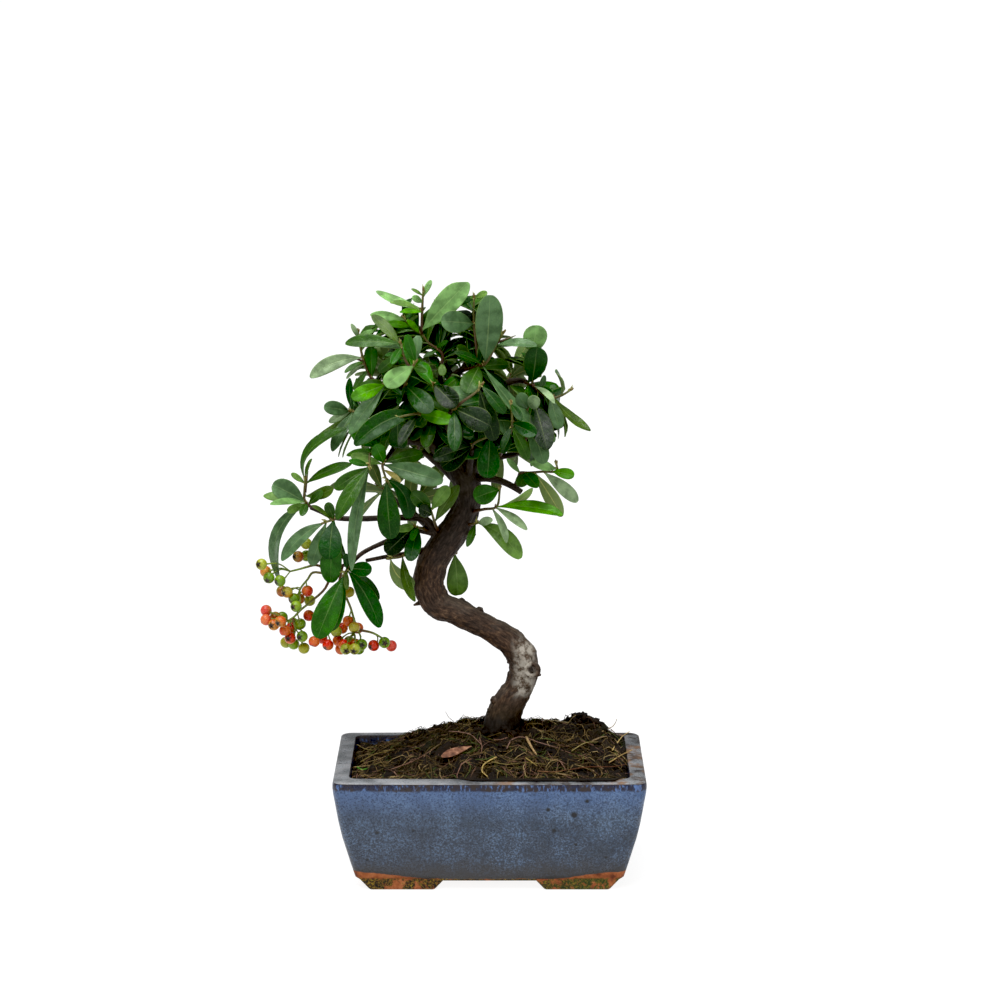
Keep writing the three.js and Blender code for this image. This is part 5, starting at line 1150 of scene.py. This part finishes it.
def nearest_on(lines, place):
    """The nearest place on lines of straight spans."""
    best = None
    for line in lines:
        for start, end in zip(line, line[1:]):
            spot, share = intersect_point_line(place, start, end)
            spot = start.lerp(end, min(max(share, 0), 1))
            if best is None or (spot - place).length < (best - place).length:
                best = spot
    return best


def leaves_seen(shoot, lines):
    leaves = []
    for tone, base_x, base_z, tip_x, tip_z, seen_width, *rest in shoot["leaves"]:
        reach, *via = rest or [0]
        root = nearest_on(lines, seen(base_x, base_z, shoot["depth"]))
        tip = seen(tip_x, tip_z, shoot["depth"] + reach)
        width = max(abs(seen_width), min(BROADEST_LEAF, LEAF_SLIMNESS * (tip - root).length))
        leaves.append({"root": root, "tip": tip, "seen_width": seen_width, "width": width, "via": via,
            "tone": tone})
    return leaves


def leaves_round(start, end, count, length, seed):
    """Leaves in a spiral round a shoot: each stands off it, droops, and turns its upper side outwards."""
    roll = dice(seed)
    along = (end - start).normalized()
    aside = Vector((0, 0, 1)).cross(along).normalized()
    leaves = []
    for k in range(count):
        share = k / (count - 1)
        spread = math.radians(82 - 44 * share + 10 * (roll() - 0.5))
        around = Quaternion(along, k * GOLDEN_ANGLE + 0.5 * roll()) @ aside
        way = along * math.cos(spread) + around * math.sin(spread)
        reach = length * (0.75 + 0.45 * roll())
        root = start.lerp(end, 0.3 + 0.68 * share)
        tip = root + way * reach - Vector((0, 0, LEAF_DROOP * reach))
        upper = along - 0.3 * around + Vector((0, 0, 0.6))
        width = reach * (0.28 + 0.07 * roll())
        tone = INNER_TONES[(seed + 3 * k) % len(INNER_TONES)]
        leaves.append({"root": root, "tip": tip, "upper": upper, "width": width, "tone": tone})
    return leaves


def leaf_mesh():
    bm = bmesh.new()
    bm.loops.layers.uv.new("UVMap")
    bm.verts.layers.float_color.new("tone")
    return bm


def add_blade(whole, pose, colour, roll, spans=4):
    """A leaf blade: a grid folded along its midrib, bent, waved at its edges and given its thickness."""
    bm = leaf_mesh()
    tone = bm.verts.layers.float_color["tone"]
    grid = bmesh.ops.create_grid(bm, x_segments=spans, y_segments=len(LEAF_ROWS) - 1, size=1,
        calc_uvs=True)["verts"]
    faces = {face for vert in grid for face in vert.link_faces}
    length = (pose["tip"] - pose["root"]).length
    pointed = 0.15 + 0.85 * eased(length / pose["width"], 2.1, 4.6)
    fold = 0.18 + 0.36 * roll()
    wave = 0.1 + 0.2 * roll()
    phase = 6 * roll()
    half = pose["width"] / 2 * 1.05
    for vert in grid:
        across, row = vert.co.x, round((vert.co.y + 1) / 2 * (len(LEAF_ROWS) - 1))
        share = LEAF_ROWS[row]
        place, heading = on_leaf(pose, share)
        up = square_to(pose["face"], heading)
        side = heading.cross(up)
        wide = max(0.42, half * (BLUNT_LEAF[row] * (1 - pointed) + POINTED_LEAF[row] * pointed))
        wide = min(wide, 0.5) if row < 2 else wide
        lift = wide * (fold * abs(across) - 0.16 * across ** 2)
        lift += wave * across * math.sin(2.2 * math.pi * share * 2 + phase) * min(1, wide / 3)
        vert.co = place + side * (across * wide) + up * lift
        vert[tone] = colour
    bm.normal_update()
    under = bmesh.ops.solidify(bm, geom=list(faces), thickness=LEAF_THICKNESS)["geom"]
    for face in under:
        if isinstance(face, bmesh.types.BMFace):
            face.material_index = 1
    gathered(whole, bm)


def leaf_skin(name, under):
    """Firethorn leaf: a waxy skin, glossy and deep green above, dull and paler beneath, a pale midrib."""
    material, add, shader = new_material(name, IOR=1.4, Specular_IOR_Level=0.26)
    tone = add("Attribute", output="Color", attribute_name="tone")
    place = millimetres(add)
    chart = add("SeparateXYZ", add("TexCoord", output="UV"), output="all")
    centred = add("Math", chart[0], 0.5, operation="SUBTRACT")
    aside = add("Math", centred, operation="ABSOLUTE")
    # Midrib, wider at the stalk, and side veins that leave it slantwise every three millimetres
    rib_width = add("MapRange", chart[1], 0.0, 0.8, 0.085, 0.014)
    rib_share = add("Math", aside, rib_width, operation="DIVIDE")
    rib = add("MapRange", rib_share, 1.0, 0.35)
    slant = add("Math", aside, -0.42, chart[1], operation="MULTIPLY_ADD")
    waves = add("Math", slant, 62.0, operation="MULTIPLY")
    veins = add("MapRange", add("Math", waves, operation="SINE"), 0.82, 1.0)
    clouds = add("TexNoise", place, 0.16, 3.0)
    speckle = add("TexNoise", place, 1.3, 3.0)
    blisters = add("TexNoise", place, 0.34, 2.0)
    leaf = add("Mix", add("MapRange", clouds, 0.35, 0.65, 0.0, 0.5), tone, "#0b2407")
    leaf = add("Mix", add("MapRange", speckle, 0.5, 0.75, 0.0, 0.12), leaf, "#6f9440")
    margin = add("MapRange", aside, 0.452, 0.5, 0.0, 0.35)
    leaf = add("Mix", margin, leaf, "#86a050")
    if under:
        leaf = add("Mix", 0.45, leaf, "#8d9f66")
        leaf = add("Mix", add("Math", rib, 0.7, operation="MULTIPLY"), leaf, "#b5b56a")
        gloss = add("MapRange", speckle, 0.3, 0.7, 0.5, 0.7)
    else:
        pale = add("Mix", 0.35, tone, "#b9cf86")
        leaf = add("Mix", add("Math", rib, 0.3, operation="MULTIPLY"), leaf, pale)
        leaf = add("Mix", add("Math", veins, 0.02, operation="MULTIPLY"), leaf, pale)
        gloss = add("MapRange", clouds, 0.32, 0.6, 0.14, 0.46)
    furrow = add("Math", rib, 4.0, veins, operation="MULTIPLY_ADD")
    relief = add("Math", speckle, 0.12, furrow, operation="MULTIPLY_ADD")
    bump = add("Bump", {"Strength": 0.3, "Distance": 0.00022, "Height": relief}, invert=not under)
    surfaced(shader, leaf, gloss, blisters, 0.6, 0.0006, bump)
    return material


def shoot_bark():
    """Bark of young shoots: smooth and satin, red-brown on last year's wood and green at the tips."""
    material, add, shader = new_material("shoot_bark", Roughness=0.5, IOR=1.45)
    tone = add("Attribute", output="Color", attribute_name="tone")
    grain = add("Attribute", output="Vector", attribute_name="grain")
    flecks = add("TexNoise", grain, 1.1, 4.0, 0.65)
    skin = add("Mix", add("MapRange", flecks, 0.4, 0.7, 0.0, 0.6), tone, "#2a1b12")
    surfaced(shader, skin, None, flecks, 0.4, 0.0004)
    return material


def held_inside(corners):
    """Keeps a leaf's outermost corners inside the box of the whole plant."""
    low, high = (TO_METRES.inverted() @ Vector(corner) for corner in cad_bounds)
    for vert in corners:
        vert.co = Vector(min(max(c, a + EDGE_ROOM), b - EDGE_ROOM) for c, a, b in zip(vert.co, low, high))


leaf_upper = leaf_skin("firethorn_leaf_upper", False)
leaf_under = leaf_skin("firethorn_leaf_under", True)
young_bark = shoot_bark()
OLD_TWIG, NEW_TWIG, BRACT, BUD = (Vector(linear(code)) for code in ("#432619", "#646c2b", "#a9a860",
    "#6a4422"))


def tossed(roll, sunk):
    """A random vector within a cube whose middle lies above the origin, or on it where sunk is a half."""
    return Vector((roll() - 0.5, roll() - 0.5, roll() - sunk))


def add_bract(bm, root, reach, colour):
    """A narrow scale leaf beside a bud."""
    scale = stem_mesh()
    line = [root, root + reach * 0.5 + Vector((0, 0, 0.2)), root + reach]
    add_stem(scale, line, [0.3, 0.42, 0.08], 5, [colour] * 3)
    gathered(bm, scale)


def add_twigs(bm, shoot):
    tips = []
    for kind in ("twigs", "thorns"):
        for points in shoot.get(kind, []):
            line = bezier_line(seen_places(points, shoot["depth"]), 4)
            last = len(line) - 1
            thick, thin = TWIG_RADII if kind == "twigs" else THORN_RADII
            radii = [thick + (thin - thick) * k / last for k in range(last + 1)]
            tones = [OLD_TWIG.lerp(NEW_TWIG, 0.9 * (k / last) ** 1.6) for k in range(last + 1)]
            add_stem(bm, line, radii, 8, tones)
            tips.append((line[-1], line[-1] - line[-2], kind))
    roll = dice(97)
    for tip, heading, kind in tips:
        if kind == "twigs":
            bud = bmesh.ops.create_icosphere(bm, subdivisions=2, radius=0.9)["verts"]
            grown = heading.normalized()
            turn = Vector((0, 0, 1)).rotation_difference(grown).to_matrix().to_4x4()
            place = Matrix.Translation(tip + grown * 0.8) @ turn @ Matrix.Diagonal((0.8, 0.8, 1.9, 1))
            bmesh.ops.transform(bm, matrix=place, verts=bud)
            for vert in bud:
                vert[bm.verts.layers.float_color["tone"]] = BUD.lerp(NEW_TWIG, roll())
            for k in range(5):
                spread = tossed(roll, 0.2) + grown * 0.7
                reach = spread.normalized() * (2.2 + 2.4 * roll())
                add_bract(bm, tip - grown * (0.4 + 0.5 * k), reach, NEW_TWIG.lerp(BRACT, roll()))


def grown_leaves(name, poses, *nodes):
    """A piece of leaves, each in its pose and with a tone of its own."""
    bm = leaf_mesh()
    roll = dice(sum(map(ord, name)))
    for pose, tone in poses:
        colour = Vector(linear(LEAF_TONES[tone])).xyz * (0.86 + 0.28 * roll())
        add_blade(bm, pose, (*colour, 1), roll, 4 if nodes else 2)
    held_inside(bm.verts)
    finished(name, bm, [leaf_upper, leaf_under], "leaf", *nodes, rounded=bool(nodes))


def grown_shoot(shoot, leaves):
    """A shoot's leaves, which stand for its CAD node, and its twigs."""
    corners = solid_corners(shoot["name"])
    poses = [(pose_in_solid(leaf, corners), leaf["tone"]) for leaf in leaves]
    grown_leaves(shoot["name"] + "_fine", poses, shoot["name"])
    bm = stem_mesh()
    add_twigs(bm, shoot)
    roll = dice(sum(map(ord, shoot["name"])))
    for pose, _ in poses:
        out = (pose["tip"] - pose["root"]).normalized()
        for _ in range(2):
            spread = out * 0.5 + tossed(roll, 0.1)
            reach = spread.normalized() * (1 + 1.4 * roll())
            add_bract(bm, pose["root"], reach, BUD.lerp(BRACT, roll()))
    finished(shoot["name"].replace("leaves", "twigs"), bm, [young_bark], "bark")
    return [pose for pose, _ in poses]


def over_blade(pose):
    """Places spread over a leaf."""
    for k in range(13):
        place, heading = on_leaf(pose, k / 12)
        side = heading.cross(square_to(pose["face"], heading))
        half = pose["width"] / 2 * math.sin(math.pi * min(0.92, 0.08 + 0.9 * k / 12)) ** 0.7
        for step in range(-3, 4):
            yield place + side * half * step / 3


def view_cell(place):
    """The cell of the view, a few millimetres wide, in which a place is seen."""
    flat = VIEWPOINT + (place - VIEWPOINT) / (1 - place.y / VIEWPOINT.y)
    return round(flat.x / VIEW_CELL), round(flat.z / VIEW_CELL)


def enclosed(cell, nearest):
    """Whether leaves are seen on nearly all sides of a cell."""
    hits = 0
    for across, up in ((1, 0), (-1, 0), (0, 1), (0, -1), (1, 1), (1, -1), (-1, 1), (-1, -1)):
        reach = 6 if across and up else 8
        hits += any((cell[0] + across * k, cell[1] + up * k) in nearest for k in range(reach))
    return hits >= 7


def in_crown(cell):
    """Whether a cell lies within the dense part of the crown."""
    x, z = cell[0] * VIEW_CELL, cell[1] * VIEW_CELL
    turns = 0
    for (x1, z1), (x2, z2) in zip(CROWN_OUTLINE, CROWN_OUTLINE[1:] + CROWN_OUTLINE[:1]):
        if (z1 > z) != (z2 > z) and x < x1 + (x2 - x1) * (z - z1) / (z2 - z1):
            turns += 1
    return turns % 2 == 1


def crown_leaves(lines, nearest, seed):
    """Leaves all through the crown, which fill it between and behind the outer ones and never hide them."""
    roll = dice(seed)
    crowded = {}
    poses = []
    for line in lines:
        line = bezier_line(line, 8)
        for k, (start, end) in enumerate(zip(line[2:], line[3:])):
            along = (end - start).normalized()
            aside = Vector((0, 0.3, 1)).cross(along).normalized()
            for turn in range(LEAVES_ABREAST):
                around = Quaternion(along, k * GOLDEN_ANGLE + turn * 1.26 + roll()) @ aside
                reach = 15 + 15 * roll()
                way = (along * (0.1 + 0.7 * roll()) + around + Vector((0, 0.2, 0))).normalized()
                tip = end + way * reach - Vector((0, 0, 0.15 * reach))
                leaf = {"root": end, "tip": tip, "upper": along - 0.3 * around + Vector((0, -0.3, 0.6)),
                        "width": reach * (0.34 + 0.1 * roll())}
                pose = posed(leaf, 0)
                spots = [(view_cell(spot), spot.y) for spot in over_blade(pose)]
                cells = {cell for cell, _ in spots}
                inside = all(cell in nearest or in_crown(cell) or enclosed(cell, nearest) for cell in cells)
                hides = any(cell in nearest and nearest[cell] > depth - LEAST_BEHIND for cell, depth in spots)
                low = min(cell[1] for cell in cells) * VIEW_CELL < CROWN_FOOT
                crowd = sum(crowded.get(cell, 0) for cell in cells) / len(cells)
                if inside and not hides and not low and crowd < MOST_CROWDED:
                    poses.append((pose, INNER_TONES[int(roll() * len(INNER_TONES))]))
                    for cell in cells:
                        crowded[cell] = crowded.get(cell, 0) + 1
    return poses


stems = []
nearest = {}
for shoot in SHOOTS:
    lines = [seen_places(points, shoot["depth"]) for points in shoot["twigs"]]
    stems += lines
    for pose in grown_shoot(shoot, leaves_seen(shoot, lines)):
        for spot in over_blade(pose):
            cell = view_cell(spot)
            nearest[cell] = min(nearest.get(cell, 999), spot.y)
for name, start, end, count, length, seed in INNER_SHOOTS:
    shoot = {"name": name, "depth": 0, "twigs": [[start, end]]}
    grown_shoot(shoot, leaves_round(seen(*start), seen(*end), count, length, seed))
    stems.append([seen(*start), seen(*end)])
for points in BRANCHES:
    stems.append([seen(x, z, depth) for x, z, depth, diameter in points if diameter < INNER_STEM])
inner = crown_leaves(stems, nearest, 61)
for k in range(4):
    grown_leaves("leaves_within_crown_" + str(k + 1), inner[k::4])

# Fallen leaf: last year's leaf, dry, brown and folded, that lies on the front of the mound. Its places are
# (x, y) on the soil.
FALLEN_ROOT = (-10.4, -26)
FALLEN_TIP = (-27.8, -33)
FALLEN_WIDTH = 6.2


def dry_leaf():
    """Dead leaf: pinkish brown, blotched, dull and brittle."""
    material, add, shader = new_material("dry_leaf", Roughness=0.75, IOR=1.4)
    place = millimetres(add)
    blotches = add("TexNoise", place, 0.35, 5.0)
    brown = add("ValToRGB", blotches, stops=[(0.35, "#40281d"), (0.52, "#774f3b"), (0.66, "#a67c60")])
    surfaced(shader, brown, None, blotches, 0.5, 0.0005)
    return material


def fallen_leaf():
    bm = leaf_mesh()
    root, tip = (Vector((x, y, ground(x, y) + 4.6)) for x, y in (FALLEN_ROOT, FALLEN_TIP))
    pose = {"root": root, "tip": tip, "control": (root + tip) / 2 + Vector((0, 0, 0.8)),
            "face": Vector((0, -0.6, 1)).normalized(), "width": FALLEN_WIDTH}
    add_blade(bm, pose, (0.3, 0.15, 0.1, 1), dice(5))
    return bm


brown_leaf = dry_leaf()
finished("fallen_leaf_fine", fallen_leaf(), [brown_leaf, brown_leaf], "dry_leaf", "fallen_leaf", rounded=True)

# Berries: small pomes that hang in bunches from branched stalks, green, yellow, orange and red as they
# ripen. Each ends in the dried star of its flower, the calyx. A berry is (x, z, depth, skin, calyx side x,
# calyx side z), with no side where the calyx is turned away.
BERRY_DIAMETER = 6.9
SOLID_CORNER = 3.498
BERRY_SWINGS = (0, -2, 2, -4, 4, -7, 7, -10, 10, -14, 14)
SKINS = {
    "red": ("#c43018", "#cc6428"), "bright": ("#d6260c", "#c86a28"), "pink": ("#cc4638", "#cf6a3c"),
    "orange": ("#c45a20", "#bb8030"), "rust": ("#9a5020", "#94762c"), "amber": ("#b88222", "#a29a34"),
    "yellow": ("#9a9c28", "#96a434"), "green": ("#5e861a", "#7a9a22"), "blush": ("#a4622a", "#728e28")}
BUNCHES = [
    {"name": "berries_far_left", "depth": -2,
     "stalks": [[(-94.6, 179.1, 7.8), (-101, 181.5, 4), (-106, 180.5), (-110, 179.3), (-116, 177.8, 4)],
                [(-101, 181.5, 4), (-103.6, 189, 6)]],
     "berries": [(-132.7, 182, 0, "yellow", -2.1, 0.3), (-130.3, 177.7, 3, "orange"),
                 (-128.5, 174, -3, "green", -1, -1.5),
                 (-122, 172.2, -1, "green", -2.7, -0.7), (-106.5, 194.2, 5, "yellow"),
                 (-111.3, 186.5, 2, "rust", -2.7, 0.3), (-106.5, 187, 7, "green")]},
    {"name": "berries_left_middle", "depth": 2,
     "stalks": [[(-88.4, 180.4, 1.2), (-95, 176.8, -2), (-103, 177), (-106, 173), (-110, 168),
                 (-111.5, 164)]],
     "berries": [(-121, 166, 2, "blush"), (-118, 165.5, -3, "amber", -2.3, -0.5),
                 (-114, 161.5, -3, "green", -2.9, -1),
                 (-111, 161.5, 3, "blush"), (-112.8, 157, 0, "green", -2.2, 0), (-106.2, 166.2, -1, "red"),
                 (-104.8, 160.5, 4, "yellow")]},
    {"name": "berries_low_left", "depth": 4,
     "stalks": [[(-91.6, 179.7, 0.6), (-95.6, 168, 2), (-104, 160), (-110, 155), (-115, 150),
                 (-119.5, 147.6)],
                [(-115, 150), (-113, 143)]],
     "berries": [(-130.3, 154.5, 1, "pink"), (-130.5, 149, -2, "pink"), (-126, 146, -5, "orange", -1.6, 0),
                 (-125, 150.5, 4, "rust"), (-121, 150.5, 5, "green"), (-122, 148, -1, "orange"),
                 (-119.5, 142.5, -5, "red"), (-115.8, 144, 3, "red"), (-116.5, 138, -4, "red", -1.3, 0.3),
                 (-114.8, 147, 4, "green"), (-110.5, 146.5, 0, "green"), (-109.5, 139, -4, "green", -1.8, 0),
                 (-119, 135.5, 3, "yellow"), (-114.5, 134.5, 2, "green"), (-108.5, 132, 1, "yellow")]},
    {"name": "berries_low_middle", "depth": 6,
     "stalks": [[(-85.6, 181.2, -4), (-88.4, 168, 1), (-92, 156, 2), (-98, 145), (-100, 141)],
                [(-92, 156, 2), (-90, 147)]],
     "berries": [(-102.5, 136, -6, "red"), (-98, 138, 3, "red"), (-94.5, 134, -6, "bright", -2, -2),
                 (-105.5, 151.5, 4, "red"), (-86, 144, -1, "red"), (-89.5, 142, -4, "yellow")]},
    {"name": "berries_right", "depth": 1,
     "stalks": [[(-82.4, 182.2, -1), (-84.4, 166, -2), (-81, 156), (-78.4, 147), (-75.2, 138.6)],
                [(-79.3, 150), (-79, 140)], [(-76.6, 143), (-68.4, 141.2), (-62.6, 138)]],
     "berries": [(-82.5, 148.2, 2, "orange"), (-79, 144.5, -3, "amber"), (-77, 144, 4, "orange"),
                 (-88.5, 136.5, 0, "red"), (-85, 134, -5, "bright"), (-87, 131.5, 4, "orange"),
                 (-84, 131.5, -8, "yellow", 0.4, -0.8), (-82, 136, 3, "yellow"), (-78.5, 134.5, 2, "orange"),
                 (-79, 131.5, -3, "yellow", -0.5, -1), (-74.8, 134.2, -5, "green", 0.3, 0.3),
                 (-76.5, 131.5, 1, "green"), (-67.8, 133.6, -1, "red", -2.5, -0.6),
                 (-61.5, 135.4, -3, "green", 0.5, 0.2), (-57.5, 133.4, 1, "pink"),
                 (-82, 165.5, -3, "amber")]}]
CALYX, OLD_STALK, NEW_STALK = (Vector(linear(code)) for code in ("#140d08", "#6b4a2e", "#7f9a3a"))


def berry_centre(bunch, x, z, more, corners):
    """Where the CAD solid holds the berry: the depth at which most of its corners lie on its sphere."""
    def agreement(swing):
        centre = seen(x, z, bunch["depth"] + more + swing)
        near = corners.find_range(centre, SOLID_CORNER + 0.04)
        return sum(distance > SOLID_CORNER - 0.04 for _, _, distance in near)
    return seen(x, z, bunch["depth"] + more + max(BERRY_SWINGS, key=agreement))


def berry_mesh():
    bm = bmesh.new()
    bm.verts.layers.float_color.new("tone")
    return bm


def add_berry(whole, centre, eye, skin, roll):
    """A pome, a little flattened, with a dimple at its end and the five sepals of its calyx round that."""
    bm = berry_mesh()
    tone = bm.verts.layers.float_color["tone"]
    berry = bmesh.ops.create_uvsphere(bm, u_segments=20, v_segments=12, radius=1)["verts"]
    turn = Vector((0, 0, 1)).rotation_difference(eye).to_matrix().to_4x4()
    ripe, unripe = (Vector(linear(code)) for code in SKINS[skin])
    cheek = tossed(roll, 0.5).normalized()
    for vert in berry:
        way = vert.co.copy()
        polar = math.acos(max(-1, min(1, way.z)))
        lobe = 0.5 + 0.5 * math.cos(5 * math.atan2(way.y, way.x))
        dimple = 0.3 * math.exp(-(polar / 0.22) ** 2)
        sepals = 0.08 * math.exp(-((polar - 0.42) / 0.14) ** 2) * (0.35 + lobe)
        stem_end = 0.12 * math.exp(-((math.pi - polar) / 0.3) ** 2)
        vert.co = way * (1 - dimple + sepals - stem_end) * BERRY_DIAMETER / 2
        vert.co.z *= 0.95
        blush = 0.5 + 0.5 * way.dot(cheek)
        calyx = 1 - eased(polar, 0.32 + 0.2 * lobe, 0.46 + 0.3 * lobe)
        vert[tone] = unripe.lerp(ripe, eased(blush, 0.2, 0.75)).lerp(CALYX, calyx)
    bmesh.ops.transform(bm, matrix=Matrix.Translation(centre) @ turn, verts=berry)
    gathered(whole, bm)


def berry_skin():
    """Ripening pome: a taut waxy skin with pale dots, shining under the lights."""
    material, add, shader = new_material("berry_skin", IOR=1.4, Coat_Weight=0.12, Coat_Roughness=0.12)
    tone = add("Attribute", output="Color", attribute_name="tone")
    place = millimetres(add)
    dots = add("TexNoise", place, 1.9, 2.0)
    clouds = add("TexNoise", place, 0.4, 2.0)
    skin = add("Mix", add("MapRange", dots, 0.6, 0.75, 0.0, 0.4), tone, "#d0a05a")
    skin = add("Mix", add("MapRange", clouds, 0.5, 0.75, 0.0, 0.3), skin, "#5a1c0c")
    roughness = add("MapRange", dots, 0.3, 0.7, 0.26, 0.4)
    surfaced(shader, skin, roughness, dots, 0.15, 0.0003)
    return material


def hung_bunch(bunch):
    """A bunch's berries, which stand for its CAD node, and its stalks and pedicels."""
    corners = solid_corners(bunch["name"])
    fruit = berry_mesh()
    stems = stem_mesh()
    stalks = [bezier_line(seen_places(points, bunch["depth"]), 4) for points in bunch["stalks"]]
    for line in stalks:
        last = len(line) - 1
        tones = [OLD_STALK.lerp(NEW_STALK, eased(k / last, 0.1, 0.8)) for k in range(last + 1)]
        add_stem(stems, line, [0.85 - 0.3 * k / last for k in range(last + 1)], 7, tones)
    roll = dice(sum(map(ord, bunch["name"])))
    for x, z, more, skin, *side in bunch["berries"]:
        centre = berry_centre(bunch, x, z, more, corners)
        start = nearest_on(stalks, centre + Vector((0, 0, 5)))
        away = (centre - start).normalized()
        if side:
            radius = BERRY_DIAMETER / 2
            toward = math.sqrt(max(0.4, radius ** 2 - side[0] ** 2 - side[1] ** 2))
            eye = Vector((side[0], -toward, side[1])).normalized()
        else:
            eye = (away + Vector((0, 0.5, -0.3))).normalized()
        add_berry(fruit, centre, eye, skin, roll)
        hold = centre - eye * BERRY_DIAMETER / 2 * 0.8
        sag = (start + hold) / 2 + Vector((0, 0, 0.12 * (hold - start).length)) - eye * 1.2
        pedicel = bezier_line([start, sag, hold], 4)
        add_stem(stems, pedicel, [0.42] * 5 + [0.4, 0.42, 0.5, 0.62], 6,
            [NEW_STALK.lerp(OLD_STALK, 0.25 * roll())] * 9)
    finished(bunch["name"] + "_fine", fruit, [pome_skin], "berry", bunch["name"], rounded=True)
    finished(bunch["name"].replace("berries", "stalks"), stems, [young_bark], "bark")


pome_skin = berry_skin()
for bunch in BUNCHES:
    hung_bunch(bunch)

# Studio: a pale sweep that the pot stands on and that glows a little, a large soft light above, weak ones
# in front on the left and on the right, and an even pale surround.
floor_bm = bmesh.new()
bmesh.ops.create_grid(floor_bm, x_segments=1, y_segments=1, size=40)
floor = placed("floor", mesh_of("floor", floor_bm))
white, add, white_shader = new_material("white_sweep", Roughness=0.9, Base_Color=linear("#6c6c6c"),
    Emission_Color=linear("#ffffff"))
sweep_place = add("TexCoord", output="Object")
sweep_reach = add("VectorMath", sweep_place, operation="LENGTH")
white.node_tree.links.new(add("MapRange", sweep_reach, 0.3, 1.6, 0.9, 1.0),
    white_shader.inputs["Emission Strength"])
floor.data.materials.append(white)

LIT_POINT = Vector((0, 0, 0.18))
SURROUND_STRENGTH = 0.18
BLACK_LEVEL = (0.0105,) * 3
# Lights: name, place, size and power
SOFTBOXES = (
    ("softbox_above", (-0.2, -0.3, 1.6), 1.4, 40), ("softbox_front", (-0.7, -1.7, 1.3), 1.8, 10),
    ("softbox_right", (1.3, -1.0, 1.0), 1.2, 8))
for name, place, size, power in SOFTBOXES:
    light = bpy.data.lights.new(name, "AREA")
    light.shape = "SQUARE"
    light.size = size
    light.energy = power
    lamp = placed(name, light)
    lamp.location = place
    aim = LIT_POINT - lamp.location
    lamp.rotation_euler = aim.to_track_quat("-Z", "Y").to_euler()

surround = bpy.data.worlds.new("pale_surround")
surround.use_nodes = True
background = surround.node_tree.nodes["Background"]
background.inputs["Color"].default_value = linear("#ffffff")
background.inputs["Strength"].default_value = SURROUND_STRENGTH
bpy.context.scene.world = surround
view = bpy.context.scene.view_settings
view.view_transform = "Standard"
view.use_curve_mapping = True
view.curve_mapping.black_level = BLACK_LEVEL
view.curve_mapping.update()
